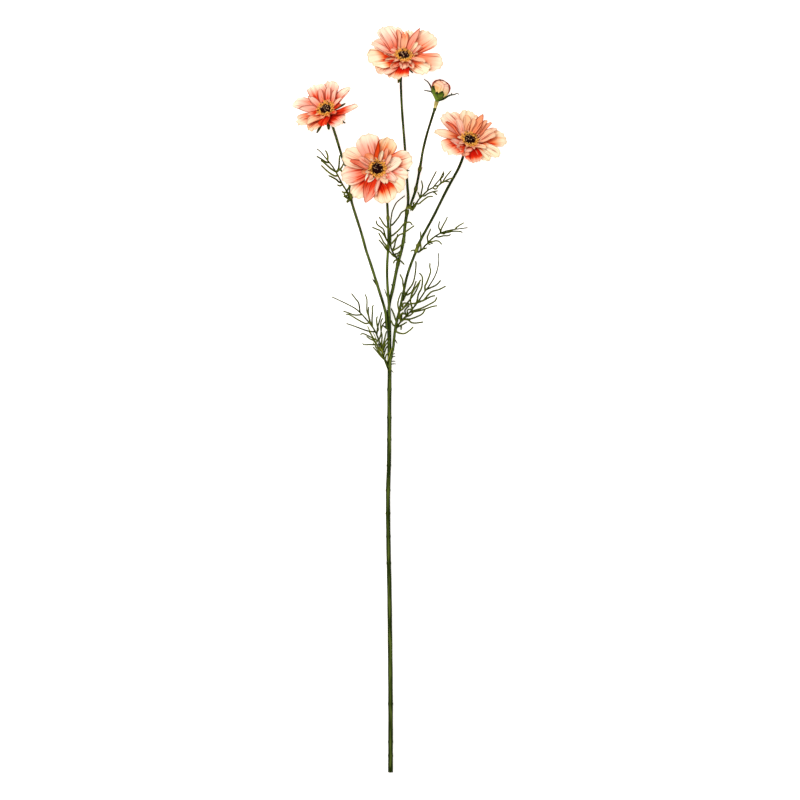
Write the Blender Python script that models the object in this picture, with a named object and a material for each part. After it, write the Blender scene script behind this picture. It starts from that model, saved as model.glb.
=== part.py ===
"""Artificial cosmos spray, laid down on a flat surface.

One cut stem with four open blossoms, one bud and six feathery leaves.  The spray
lies along +Y with its cut end at -Y; the surface is the plane z = 0 and the origin
is the middle of the bottom of the whole spray.  The stem's cut end and the petals
of three blossoms touch the surface.  The fourth blossom faces almost straight up.
"""
import math

import bmesh
import bpy
from mathutils import Quaternion, Vector

MM = 0.001  # every dimension below is in millimetres
GAP = 0.3  # clearance between neighbouring pieces
UP = Vector((0, 0, 1))
SHARP_ANGLE = math.radians(40)  # edges bent by more than this are shaded sharp
CURVE_STEPS = 12  # samples of a smooth route between two of its points

# ---------------------------------------------------------------- stems
STEM_SIDES = 8
STEM_RING_SPACING = 24.0
TWIG_RING_SPACING = 13.0
JOINT_SWELL = 0.35  # how far a ring-shaped joint stands out of the main stem
JOINT_HALF_LENGTH = 2.2
MAIN_JOINTS = (-358, -344, -306, -165, -138, -115, -92, -67, -41, -19, 9)  # their Y

MAIN_ROUTE = (
    (-10.0, -373.5, 2.55), (-10.0, -300.0, 2.85), (-11.0, -200.0, 3.1),
    (-12.0, -150.0, 3.3), (-12.5, -98.0, 3.6), (-11.5, -60.0, 3.8),
    (-11.2, 0.0, 4.4), (-11.0, 45.0, 4.9), (-11.8, 89.0, 5.4),
)
CENTRE_ROUTE = (
    (-11.7, 89.6, 5.4), (-10.5, 98.5, 5.5), (-7.5, 110.5, 5.6), (-5.0, 123.5, 5.7),
    (-2.0, 137.5, 5.8), (1.0, 148.5, 5.9), (3.3, 160.5, 5.9), (4.4, 172.5, 6.0),
    (6.0, 183.5, 6.0), (7.0, 189.5, 6.0),
)
TOP_ROUTE = (
    (7.1, 189.8, 6.0), (7.7, 200.5, 5.8), (6.8, 215.0, 5.4), (4.5, 249.5, 4.6),
    (3.0, 268.5, 4.2), (1.5, 288.5, 3.8), (0.6, 306.0, 3.9), (0.4, 318.0, 4.8),
)
BUD_ROUTE = (
    (9.2, 190.2, 7.6), (10.7, 195.5, 7.6), (14.5, 206.5, 7.4), (17.2, 218.5, 7.2),
    (20.0, 233.5, 7.1), (22.5, 248.5, 7.1), (26.0, 264.5, 7.3), (30.0, 279.5, 7.8),
    (33.3, 289.6, 8.4),
)
LEFT_ROUTE = (
    (-13.8, 70.0, 7.9), (-14.2, 77.0, 7.8), (-14.8, 85.0, 7.3), (-17.2, 94.5, 6.6),
    (-21.0, 106.5, 6.0), (-29.5, 133.5, 5.0), (-34.5, 148.5, 4.6), (-39.5, 166.5, 4.2),
    (-48.0, 193.5, 3.8), (-51.5, 208.5, 3.6), (-59.0, 243.5, 3.2), (-65.0, 263.5, 3.0),
)
FRONT_ROUTE = (
    (-11.3, 82.0, 8.8), (-11.6, 93.5, 9.0), (-12.4, 104.5, 9.0), (-13.3, 118.5, 8.8),
    (-13.4, 133.5, 8.5), (-12.0, 158.5, 8.0), (-12.5, 178.5, 7.6), (-13.5, 197.5, 7.4),
    (-15.4, 208.0, 7.5), (-18.8, 217.5, 8.0), (-21.8, 224.5, 10.2),
)
RIGHT_ROUTE = (
    (-11.0, 31.0, 8.0), (-9.6, 40.5, 7.8), (-8.4, 46.0, 7.3), (-7.1, 52.0, 6.6),
    (-6.5, 58.5, 6.2), (-5.0, 71.5, 6.0), (-1.0, 88.5, 5.8), (3.0, 106.5, 5.6),
    (5.5, 118.5, 5.5), (9.0, 130.5, 5.4), (15.5, 147.5, 5.2), (20.5, 159.5, 5.1),
    (33.0, 182.5, 4.8), (46.0, 208.5, 4.4), (58.5, 231.5, 4.0),
)
MAIN_RADII = (2.25, 1.8)
CENTRE_RADII = (1.5, 1.4)
TOP_RADII = (1.05, 0.95)
BUD_RADII = (0.9, 0.85)
LEFT_RADII = (1.0, 0.95)
FRONT_RADII = (1.15, 1.05)
RIGHT_RADII = (1.0, 0.95)

# ---------------------------------------------------------------- blossoms
PETALS_PER_LAYER = 8
HUB_RADIUS = 7.0
LAYER_THICKNESS = 0.9
LAYER_PITCH = LAYER_THICKNESS + GAP  # from one layer of petals to the next
PETAL_CUP = 1.4  # how far a petal's edges rise above its middle
TURN_LENGTH = 14.0  # a petal reaches its own bearing this far outside the hub
EDGE_ROOM = 0.45  # half the room kept between neighbouring petals
PETAL_OUTLINE = ((0.0, 0.0), (0.2, 0.66), (0.45, 0.92), (0.7, 1.0), (0.88, 0.86), (1.0, 0.45))
COLLAR_OUTLINE = ((0.0, 0.0), (0.4, 0.9), (0.75, 1.0), (1.0, 0.6))
OUTER_SLOPES = (20, 4)  # degrees at the hub and at the tip
MIDDLE_SLOPES = (34, 12)
INNER_SLOPES = (54, 32)

CALYX_DEPTH = 10.0
CALYX_PROFILE = ((-GAP, 5.2), (-1.7, 5.6), (-4.5, 4.4), (-8.0, 2.4), (-CALYX_DEPTH, 1.6))
SEPAL_REACH = 20.0
SEPAL_WIDTHS = (2.4, 1.6, 0.6)
SEPAL_THICKNESS = 0.7
CENTRE_BASE = 2 * LAYER_PITCH + LAYER_THICKNESS + GAP
CENTRE_PROFILE = ((0.0, 4.6), (1.1, 5.0), (2.2, 4.0), (2.8, 2.2))  # height, radius
STAMEN_RING = (5.3, 6.6, 0.8)  # inner radius, outer radius, height
STAMEN_TIP = (8.4, 4.4)  # radius and height above the ring's foot
STAMEN_TIP_RADIUS = 0.35
STAMEN_COUNT = 16
CENTRE_SIDES = 12
NECK_LENGTH = 4.0  # straight end of a branch below its blossom

# name, where the centre is seen from above, height of the hub, tilt, bearing of the tilt
BLOSSOMS = (
    ("top", (3.5, 343.5), 18.25, 43, 80),
    ("left", (-74.9, 290.0), 15.45, 38, 113),
    ("front", (-23.0, 229.5), 26.0, 6, 90),
    ("right", (69.5, 259.5), 16.35, 40, 67),
)
FACE_HEIGHT = 6.0  # the seen centre stands this far above the hub

# each petal: bearing in degrees, reach from the axis, widest width
OUTER_PETALS = {
    "top": ((32, 37.5, 19), (73, 31, 13), (114, 39, 20), (179, 35.5, 19),
            (225, 33.5, 14), (259, 31, 20), (313, 34.5, 14), (346, 38, 16)),
    "left": ((45, 31.5, 8), (81, 32, 15), (112, 32, 15), (166, 34, 12),
             (202, 29.5, 14), (249, 27.5, 12), (315, 27, 14), (357, 32, 7)),
    "front": ((21, 33.7, 16), (71, 32.3, 16), (108, 35, 18), (160, 36, 17),
              (196, 37, 15), (226, 32.3, 12), (288, 34, 22), (338, 31, 13)),
    "right": ((4, 35, 13), (90, 34.5, 17), (125, 34.5, 19), (173, 36, 7),
              (217, 30, 18), (273, 28, 15), (304, 31, 9), (328, 33.5, 9)),
}
MIDDLE_PETALS = {
    "top": ((42, 21, 6), (64, 34, 7), (88, 28.5, 8), (101, 33, 6),
            (155, 34, 10), (205, 22, 9), (270, 20, 9), (330, 22, 8)),
    "left": ((20, 18, 6), (62, 22, 7), (97, 24, 8), (140, 24, 8),
             (184, 24, 8), (226, 20, 8), (279, 20, 13), (335, 18, 7)),
    "front": ((28, 23, 9), (50, 27, 6), (88, 26, 5), (135, 22, 8),
              (164, 28.6, 6), (205, 20, 8), (251, 34.7, 11), (318, 26, 9)),
    "right": ((22, 29, 7), (45, 30, 8), (64, 34, 7), (100, 24, 8),
              (142, 31, 6), (195, 20, 8), (250, 20, 8), (320, 22, 8)),
}
INNER_REACHES = (15.5, 13.0, 17.0, 14.0, 16.0, 12.5, 15.0, 14.5)
INNER_WIDTH = 6.0

# ---------------------------------------------------------------- bud
BUD_BASE = Vector((36.4, 297.8, 10.2))
BUD_AXIS = Vector((0.22, 0.943, 0.25))
BUD_COLLAR_RADII = (1.5, 1.75)
BUD_CALYX_PROFILE = ((4.2, 6.6), (2.8, 5.6), (1.4, 3.8), (0.0, 1.9))  # height, radius
BUD_SEPAL_REACH = 15.0
BUD_SEPAL_SLOPE = math.radians(38)
BUD_CORE_PROFILE = (
    (4.6, 3.0), (6.5, 6.2), (9.5, 8.2), (13.0, 8.7), (16.5, 7.4), (19.0, 4.6), (20.2, 1.6),
)
BUD_LOBES = 6
BUD_LOBE_DEPTH = 0.07  # share of the radius

# ---------------------------------------------------------------- leaves
LEAF_STALK_RADII = (0.9, 0.5)
SHOOT_RADII = (0.6, 0.4)
SHOOT_BASE = 1.3  # length of stalk that a shoot grows out of
STALK_SPACING = 9.0
SHOOT_STEP = 7.0  # longest stretch of a shoot between two rings
SHOOT_SLOPES = (0.30, -0.12, 0.16, 0.38, -0.05)  # rise per length, shoot after shoot
LOWEST_THREAD = 0.9  # height of the lowest thread's middle line

# name, height of the stalk at its root and at its tip, the stalk, then its shoots
LEAVES = (
    ("lower_left_leaf", 5.0, 14.0,
     ((-13.6, 34.0), (-16.5, 40.5), (-18.5, 46.5), (-20.0, 53.5), (-22.5, 60.5), (-25.5, 67.5),
      (-29.5, 73.5), (-34.5, 79.5), (-39.5, 85.0), (-44.5, 89.5), (-50.5, 93.0), (-69.0, 102.0)),
     (((-40.0, 85.5), (-41.0, 92.5), (-49.0, 105.5)),
      ((-38.5, 83.5), (-45.5, 83.5), (-57.5, 87.5)),
      ((-32.5, 76.5), (-40.5, 77.0), (-53.5, 84.2), (-56.0, 84.2)),
      ((-28.0, 71.5), (-34.0, 68.0), (-54.5, 75.0)),
      ((-24.0, 64.0), (-31.5, 63.5), (-40.5, 64.2)),
      ((-21.5, 58.0), (-26.5, 57.5), (-35.0, 62.5)),
      ((-20.3, 55.0), (-25.0, 54.0), (-38.5, 55.5)),
      ((-18.6, 47.0), (-23.5, 48.5), (-28.0, 52.0)),
      ((-31.0, 75.5), (-34.0, 87.5), (-34.0, 100.5), (-35.7, 104.5)),
      ((-35.5, 80.6), (-32.5, 86.0), (-32.2, 92.0)),
      ((-27.0, 70.0), (-28.2, 79.0), (-27.0, 93.2)),
      ((-24.8, 66.0), (-23.5, 74.0), (-24.0, 82.5)),
      ((-22.8, 61.5), (-21.8, 74.5), (-19.3, 87.5)),
      ((-20.8, 56.3), (-19.3, 66.0), (-18.0, 80.0)))),
    ("lower_right_leaf", 6.2, 13.0,
     ((-3.2, 66.8), (-1.8, 71.5), (0.8, 76.0), (4.5, 81.0), (8.5, 86.0), (12.5, 91.5),
      (16.5, 97.0), (20.5, 102.5), (24.5, 107.5), (29.0, 112.0), (34.0, 121.0), (37.5, 146.5)),
     (((24.2, 107.2), (25.5, 114.5), (30.2, 126.5), (28.8, 135.5)),
      ((28.5, 111.5), (34.0, 114.5), (40.0, 118.5)),
      ((17.0, 97.5), (23.0, 99.0), (31.5, 106.5), (44.5, 112.3)),
      ((14.0, 93.5), (20.5, 96.0), (35.5, 103.2)),
      ((8.7, 86.3), (19.5, 90.5), (32.5, 97.0), (36.0, 101.5)),
      ((6.5, 83.5), (17.0, 87.5), (36.5, 93.2)),
      ((4.6, 81.2), (14.0, 80.5), (24.5, 90.5)),
      ((2.6, 78.6), (9.5, 76.5), (22.5, 77.0)),
      ((-2.6, 68.8), (1.5, 65.5), (13.0, 72.5)),
      ((18.5, 99.5), (17.3, 106.0), (21.5, 117.0), (18.0, 126.5)),
      ((10.5, 88.8), (9.5, 102.0), (19.8, 118.5)),
      ((5.6, 82.3), (4.0, 98.0), (14.5, 122.5), (15.0, 136.5)),
      ((1.6, 77.3), (-2.0, 92.0), (1.0, 107.5)),
      ((-1.0, 74.0), (-5.5, 82.0), (-9.0, 90.0)))),
    ("right_leaf", 5.0, 10.0,
     ((18.6, 147.9), (23.5, 152.0), (28.0, 155.5), (31.5, 159.5), (35.5, 162.8), (40.0, 165.8),
      (47.5, 168.0), (55.5, 169.8), (68.0, 171.0)),
     (((39.6, 165.6), (38.2, 172.5), (40.5, 177.5)),
      ((41.5, 166.4), (43.0, 173.5), (47.0, 182.2)),
      ((54.5, 169.6), (58.5, 173.0), (63.5, 176.0)),
      ((43.0, 166.9), (51.5, 166.0), (61.5, 165.8)),
      ((36.5, 163.5), (42.5, 162.4), (50.5, 164.2)),
      ((27.8, 155.4), (27.0, 161.5), (30.5, 169.2)),
      ((29.8, 157.5), (35.5, 157.6), (41.5, 154.4)),
      ((22.0, 150.8), (20.9, 158.0), (21.4, 166.5)))),
    ("centre_leaf", 7.2, 15.0,
     ((-4.6, 138.5), (-7.0, 143.5), (-8.6, 148.5), (-9.0, 153.5), (-9.2, 160.5), (-8.8, 176.5),
      (-7.5, 190.5), (-4.5, 196.0), (-0.5, 200.0), (4.6, 203.0)),
     (((-8.9, 172.5), (-4.5, 177.5), (3.5, 186.8)),
      ((-9.1, 162.0), (-4.5, 165.5), (2.6, 174.0)),
      ((-9.0, 154.5), (-4.5, 159.5), (1.0, 163.5)),
      ((-7.9, 146.3), (-5.5, 153.0), (-3.0, 163.5)),
      ((-9.0, 168.5), (-15.0, 173.5), (-21.2, 181.5)),
      ((-9.2, 159.0), (-15.5, 165.5), (-24.0, 177.8)),
      ((-9.1, 156.5), (-17.5, 165.5), (-28.5, 171.2)),
      ((-8.8, 151.0), (-18.5, 158.0), (-22.0, 166.0)),
      ((-8.0, 147.0), (-15.5, 152.0), (-21.3, 158.0)))),
    ("upper_right_leaf", 7.0, 12.0,
     ((11.8, 190.6), (14.5, 193.2), (17.0, 196.2), (20.0, 200.2), (23.0, 204.0), (27.5, 208.2),
      (32.5, 210.8), (36.5, 215.5), (40.5, 222.0), (43.5, 227.0)),
     (((27.0, 207.8), (28.5, 214.0), (36.3, 227.4)),
      ((31.5, 210.3), (38.5, 212.5), (43.0, 218.5), (51.3, 228.4)),
      ((33.5, 211.6), (42.0, 216.0), (51.0, 220.5)),
      ((23.4, 204.4), (29.0, 206.4), (37.8, 208.2)),
      ((17.4, 196.7), (23.5, 199.5), (32.5, 202.0)),
      ((20.6, 200.9), (22.0, 210.0), (21.0, 218.2)),
      ((19.4, 199.4), (18.0, 203.5), (16.6, 207.0)))),
    ("upper_left_leaf", 4.2, 9.0,
     ((-52.0, 200.6), (-54.5, 206.5), (-58.0, 214.0), (-62.5, 222.5), (-64.5, 226.5),
      (-70.5, 235.5), (-77.5, 244.0), (-84.0, 250.2)),
     (((-71.2, 236.4), (-76.5, 238.5), (-83.3, 242.5)),
      ((-65.6, 228.2), (-72.0, 232.0), (-79.5, 238.0)),
      ((-62.8, 223.1), (-70.0, 226.5), (-79.0, 233.5)),
      ((-59.6, 217.0), (-65.5, 220.5), (-71.5, 223.3)),
      ((-73.6, 239.6), (-72.8, 243.0), (-75.2, 248.5)),
      ((-64.0, 225.5), (-61.6, 233.5), (-60.9, 241.5)),
      ((-57.0, 211.8), (-60.0, 213.2), (-63.3, 214.5)),
      ((-53.6, 204.4), (-51.6, 208.5), (-51.2, 213.2)))),
)

# ---------------------------------------------------------------- finishes
COLOURS = {
    "stem_green": (0.075, 0.105, 0.022),
    "branch_green": (0.060, 0.085, 0.014),
    "leaf_green": (0.080, 0.110, 0.018),
    "calyx_green": (0.110, 0.180, 0.025),
    "collar_olive": (0.400, 0.380, 0.110),
    "petal_pink": (0.900, 0.380, 0.250),
    "petal_coral": (0.880, 0.250, 0.120),
    "petal_cream": (0.920, 0.620, 0.420),
    "stamen_yellow": (0.800, 0.360, 0.050),
    "centre_maroon": (0.035, 0.010, 0.008),
}
ROUGHNESS = {"stem_green": 0.45, "branch_green": 0.45, "leaf_green": 0.5, "calyx_green": 0.5}
PETAL_ROUGHNESS = 0.8


def clear_scene():
    """Remove every object of the open file."""
    for item in list(bpy.data.objects):
        bpy.data.objects.remove(item, do_unlink=True)


def finish(colour):
    """Return the Principled material of one colour, made once."""
    material = bpy.data.materials.get(colour)
    if material is None:
        material = bpy.data.materials.new(colour)
        material.use_nodes = True
        shader = material.node_tree.nodes["Principled BSDF"]
        shader.inputs["Base Color"].default_value = (*COLOURS[colour], 1)
        shader.inputs["Roughness"].default_value = ROUGHNESS.get(colour, PETAL_ROUGHNESS)
        shader.inputs["Metallic"].default_value = 0
    return material


def add_piece(name, bm, colour, parent=None):
    """Turn a closed bmesh into a named object, facing outwards, under its parent."""
    bmesh.ops.recalc_face_normals(bm, faces=bm.faces[:])
    mesh = bpy.data.meshes.new(name)
    bm.to_mesh(mesh)
    bm.free()
    mesh.shade_smooth()
    mesh.set_sharp_from_angle(angle=SHARP_ANGLE)
    mesh.materials.append(finish(colour))
    piece = bpy.data.objects.new(name, mesh)
    bpy.context.scene.collection.objects.link(piece)
    piece.parent = parent
    return piece


def new_ring(bm, points):
    """Add one vertex for each point and return them in order."""
    return [bm.verts.new(point * MM) for point in points]


def close_strip(bm, ring):
    """Fill a ring of an even number of corners with quads across it."""
    last = len(ring) - 1
    for i in range(len(ring) // 2 - 1):
        bm.faces.new((ring[i], ring[i + 1], ring[last - i - 1], ring[last - i]))


def join_rings(bm, near, far, skipped=()):
    """Join two rings of as many corners with quads, apart from the skipped sides."""
    count = len(near)
    for i in range(count):
        if i not in skipped:
            j = (i + 1) % count
            bm.faces.new((near[i], near[j], far[j], far[i]))


def sweep(bm, ring, sections):
    """Carry a ring through the given sections and close its end."""
    for points in sections:
        following = new_ring(bm, points)
        join_rings(bm, ring, following)
        ring = following
    close_strip(bm, ring)


def smooth_route(points, spacing):
    """Return evenly spaced points of a smooth curve through the route's points.

    Each span is a Catmull-Rom cubic: its slope at a point is half the way from the
    point before to the point after.
    """
    points = [Vector(point) for point in points]
    padded = [2 * points[0] - points[1], *points, 2 * points[-1] - points[-2]]
    samples = []
    for before, start, end, after in zip(padded, padded[1:], padded[2:], padded[3:]):
        for step in range(CURVE_STEPS):
            t = step / CURVE_STEPS
            samples.append(0.5 * (2 * start + (end - before) * t
                                  + (2 * before - 5 * start + 4 * end - after) * t * t
                                  + (3 * start - before - 3 * end + after) * t * t * t))
    samples.append(points[-1])
    total = sum((b - a).length for a, b in zip(samples, samples[1:]))
    count = max(1, round(total / spacing))
    return resample(samples, [total * i / count for i in range(count + 1)])


def resample(samples, distances):
    """Return the points of a polyline at the given distances along it, in order."""
    found = []
    travelled = 0.0
    i = 0
    for distance in distances:
        while i < len(samples) - 2 and travelled + (samples[i + 1] - samples[i]).length < distance:
            travelled += (samples[i + 1] - samples[i]).length
            i += 1
        span = samples[i + 1] - samples[i]
        found.append(samples[i] + span * min(1.0, (distance - travelled) / span.length))
    return found


def directions(points):
    """Return the unit direction of travel at each point of a polyline."""
    ahead = points[1:] + points[-1:]
    behind = points[:1] + points[:-1]
    return [(b - a).normalized() for a, b in zip(behind, ahead)]


def round_section(centre, direction, radius, sides):
    """Return a ring of points round a direction, the first one straight below."""
    side = direction.cross(UP).normalized()
    rise = side.cross(direction)
    turns = [2 * math.pi * i / sides for i in range(sides)]
    return [centre + (side * math.sin(a) - rise * math.cos(a)) * radius for a in turns]


def make_tube(name, points, radii, colour, ending=None):
    """Make a solid round stem through the points, one radius for each.

    Its last face is square to the ending direction, if one is given.
    """
    bm = bmesh.new()
    ways = directions(points)
    if ending:
        ways[-1] = ending
    sections = [round_section(point, way, radius, STEM_SIDES)
                for point, way, radius in zip(points, ways, radii)]
    start = new_ring(bm, sections[0])
    close_strip(bm, start)
    sweep(bm, start, sections[1:])
    return add_piece(name, bm, colour)


def make_main_stem():
    """Make the main stem: a tapering rod with ring-shaped joints."""
    base = smooth_route(MAIN_ROUTE, STEM_RING_SPACING)
    heights = {round(point.y, 1) for point in base}
    for joint in MAIN_JOINTS:
        heights -= {y for y in heights if abs(y - joint) < 2 * JOINT_HALF_LENGTH}
        heights |= {joint - JOINT_HALF_LENGTH, float(joint), joint + JOINT_HALF_LENGTH}
    heights |= {base[0].y, base[-1].y}
    points = []
    radii = []
    for y in sorted(heights):
        i = max(k for k in range(len(base) - 1) if base[k].y <= y + 0.01)
        share = (y - base[i].y) / (base[i + 1].y - base[i].y)
        points.append(base[i].lerp(base[i + 1], share))
        along = (y - base[0].y) / (base[-1].y - base[0].y)
        swell = JOINT_SWELL if y in MAIN_JOINTS else 0.0
        radii.append(MAIN_RADII[0] + (MAIN_RADII[1] - MAIN_RADII[0]) * along + swell)
    return make_tube("main_stem", points, radii, "stem_green")


def make_branch(name, route, radii, neck=()):
    """Make a thin tapering branch along a route that may end in a blossom's neck."""
    points = smooth_route((*route, *neck), TWIG_RING_SPACING)
    last = len(points) - 1
    widths = [radii[0] + (radii[1] - radii[0]) * i / last for i in range(last + 1)]
    ending = (neck[1] - neck[0]).normalized() if neck else None
    return make_tube(name, points, widths, "branch_green", ending)


def blossom_turn(tilt, bearing):
    """Return the rotation that tips +Z by the tilt towards the bearing."""
    bearing = math.radians(bearing)
    hinge = Vector((-math.sin(bearing), math.cos(bearing), 0))
    return Quaternion(hinge, math.radians(tilt))


def blossom_hub(face, height, turn):
    """Return the middle of the hub whose centre is seen at face from above."""
    axis = turn @ UP
    return Vector((face[0], face[1], height)) - Vector((axis.x, axis.y, 0)) * FACE_HEIGHT


def layer_bearings(petals):
    """Return the petals' root bearings, in even steps, and their tip bearings, growing."""
    step = 360 / len(petals)
    tips = [petals[0][0]]
    for bearing, *_ in petals[1:]:
        tips.append(bearing if bearing > tips[-1] else bearing + 360)
    start = sum(tip - step * i for i, tip in enumerate(tips)) / len(tips)
    return [start + step * i for i in range(len(petals))], tips


def petal_sections(root, tip, reach, width, rooms, height, slopes, outline):
    """Return a petal's sections from root to tip, each with six corners.

    Its middle line runs outwards while its slope goes evenly from the first to the
    second of the slopes.  Its half widths follow the outline, but stay inside the
    sector that its neighbours leave it, and its edges rise by the cup.
    """
    first, last = (math.tan(math.radians(slope)) for slope in slopes)
    sections = []
    for along, share in outline[1:]:
        radius = HUB_RADIUS + (reach - HUB_RADIUS) * along
        rise = (reach - HUB_RADIUS) * (first * along + (last - first) * along * along / 2)
        slope = math.atan(first + (last - first) * along)
        turned = min(1.0, (radius - HUB_RADIUS) / TURN_LENGTH)
        turned = turned * turned * (3 - 2 * turned)
        bearing = math.radians(root + (tip - root) * turned)
        outwards = Vector((math.cos(bearing), math.sin(bearing), 0))
        across = Vector((-math.sin(bearing), math.cos(bearing), 0))
        normal = UP * math.cos(slope) - outwards * math.sin(slope)
        middle = outwards * radius + UP * (height + rise)
        step = 360 / PETALS_PER_LAYER
        edges = []
        for room in rooms:
            sector = math.radians(step + (room - step) * turned) / 2
            edges.append(min(width * share / 2, radius * math.tan(sector) - EDGE_ROOM))
        cup = normal * PETAL_CUP * share
        half = normal * (LAYER_THICKNESS / 2)
        line = (middle - across * edges[0] + cup, middle, middle + across * edges[1] + cup)
        sections.append([point + half for point in line] + [point - half for point in reversed(line)])
    return sections


def make_petal_layer(name, petals, layer, slopes, outline, colour, parent):
    """Make one layer: a hub disc and petals that grow out of its rim, as one solid."""
    bm = bmesh.new()
    roots, tips = layer_bearings(petals)
    height = layer * LAYER_PITCH + LAYER_THICKNESS / 2
    sides = 3 * len(petals)
    step = 360 / sides
    turns = [math.radians(roots[0] + step * (i - 1)) for i in range(sides)]
    rim = [Vector((math.cos(a), math.sin(a), 0)) * HUB_RADIUS for a in turns]
    half = UP * (LAYER_THICKNESS / 2)
    top = new_ring(bm, [point + UP * height + half for point in rim])
    bottom = new_ring(bm, [point + UP * height - half for point in rim])
    bm.faces.new(top)
    bm.faces.new(bottom[::-1])
    for k, (_, reach, width) in enumerate(petals):
        i = 3 * k
        j = (i + 3) % sides
        bm.faces.new((bottom[i + 2], bottom[j], top[j], top[i + 2]))
        before = (tips[k] - tips[k - 1]) % 360
        after = (tips[(k + 1) % len(tips)] - tips[k]) % 360
        ring = top[i:i + 3] + bottom[i:i + 3][::-1]
        sweep(bm, ring, petal_sections(roots[k], tips[k], reach, width, (before, after),
                                       height, slopes, outline))
    return add_piece(name, bm, colour, parent)


def turned_rings(bm, profile, sides, lobes=0, depth=0.0):
    """Add a ring of corners for each height and radius of a profile round +Z."""
    rings = []
    for height, radius in profile:
        points = []
        for i in range(sides):
            angle = 2 * math.pi * i / sides
            lobed = radius * (1 - depth * math.cos(lobes * angle)) if lobes else radius
            points.append(Vector((lobed * math.cos(angle), lobed * math.sin(angle), height)))
        rings.append(new_ring(bm, points))
    return rings


def make_turned(name, profile, sides, colour, parent, lobes=0, depth=0.0):
    """Make a solid turned round +Z from a profile, with lobes if asked."""
    bm = bmesh.new()
    rings = turned_rings(bm, profile, sides, lobes, depth)
    for near, far in zip(rings, rings[1:]):
        join_rings(bm, near, far)
    bm.faces.new(rings[0])
    bm.faces.new(rings[-1])
    return add_piece(name, bm, colour, parent)


def make_calyx(name, profile, reach, slope, parent):
    """Make a calyx: a cup, and eight narrow sepals from every second side of its rim."""
    bm = bmesh.new()
    sides = 2 * PETALS_PER_LAYER
    rings = turned_rings(bm, profile, sides)
    rim, lip = rings[0], rings[1]
    for near, far in zip(rings[1:], rings[2:]):
        join_rings(bm, near, far)
    join_rings(bm, rim, lip, skipped=range(0, sides, 2))
    bm.faces.new(rim)
    bm.faces.new(rings[-1])
    start = profile[1][1]
    middle = (profile[0][0] + profile[1][0]) / 2
    for i in range(0, sides, 2):
        bearing = 2 * math.pi * (i + 0.5) / sides
        outwards = Vector((math.cos(bearing), math.sin(bearing), 0))
        across = Vector((-math.sin(bearing), math.cos(bearing), 0))
        way = outwards * math.cos(slope) + UP * math.sin(slope)
        thick = (UP * math.cos(slope) - outwards * math.sin(slope)) * (SEPAL_THICKNESS / 2)
        sections = []
        for k, width in enumerate(SEPAL_WIDTHS):
            share = (k + 1) / len(SEPAL_WIDTHS)
            centre = outwards * start + UP * middle + way * (reach - start) * share
            edge = across * (width / 2)
            sections.append([centre - edge + thick, centre + edge + thick,
                             centre + edge - thick, centre - edge - thick])
        sweep(bm, [rim[i], rim[i + 1], lip[i + 1], lip[i]], sections)
    return add_piece(name, bm, "calyx_green", parent)


def make_stamens(name, parent):
    """Make the ring of stamens: a flat ring with a spike on each of its sides."""
    bm = bmesh.new()
    sides = STAMEN_COUNT
    inner, outer, thick = STAMEN_RING
    foot = CENTRE_BASE
    profile = ((foot, inner), (foot, outer), (foot + thick, outer), (foot + thick, inner))
    rings = turned_rings(bm, profile, sides)
    for k in (0, 1, 3):
        join_rings(bm, rings[k], rings[(k + 1) % 4])
    low, high = rings[2], rings[3]
    for i in range(sides):
        j = (i + 1) % sides
        bearing = 2 * math.pi * (i + 0.5) / sides
        outwards = Vector((math.cos(bearing), math.sin(bearing), 0))
        across = Vector((-math.sin(bearing), math.cos(bearing), 0)) * STAMEN_TIP_RADIUS
        tip = outwards * STAMEN_TIP[0] + UP * (foot + STAMEN_TIP[1])
        edge = outwards * STAMEN_TIP_RADIUS
        sweep(bm, [low[i], low[j], high[j], high[i]],
              [[tip - across + edge, tip + across + edge, tip + across - edge, tip - across - edge]])
    return add_piece(name, bm, "stamen_yellow", parent)


def make_blossom(name, face, height, tilt, bearing):
    """Make one blossom under an empty at its hub, and return the two points of its neck."""
    turn = blossom_turn(tilt, bearing)
    hub = blossom_hub(face, height, turn)
    holder = bpy.data.objects.new(name + "_blossom", None)
    bpy.context.scene.collection.objects.link(holder)
    holder.location = hub * MM
    holder.rotation_mode = "QUATERNION"
    holder.rotation_quaternion = turn
    make_calyx(name + "_calyx", CALYX_PROFILE, SEPAL_REACH, 0.0, holder)
    make_petal_layer(name + "_outer_petals", OUTER_PETALS[name], 0, OUTER_SLOPES,
                     PETAL_OUTLINE, "petal_pink", holder)
    make_petal_layer(name + "_middle_petals", MIDDLE_PETALS[name], 1, MIDDLE_SLOPES,
                     PETAL_OUTLINE, "petal_coral", holder)
    step = 360 / PETALS_PER_LAYER
    inner = [(bearing + step * i, reach, INNER_WIDTH) for i, reach in enumerate(INNER_REACHES)]
    make_petal_layer(name + "_inner_petals", inner, 2, INNER_SLOPES,
                     COLLAR_OUTLINE, "petal_cream", holder)
    make_stamens(name + "_stamens", holder)
    dome = [(CENTRE_BASE + rise, radius) for rise, radius in CENTRE_PROFILE]
    make_turned(name + "_centre", dome, CENTRE_SIDES, "centre_maroon", holder)
    axis = turn @ UP
    return [hub - axis * (CALYX_DEPTH + depth) for depth in (NECK_LENGTH, GAP)]


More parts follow.
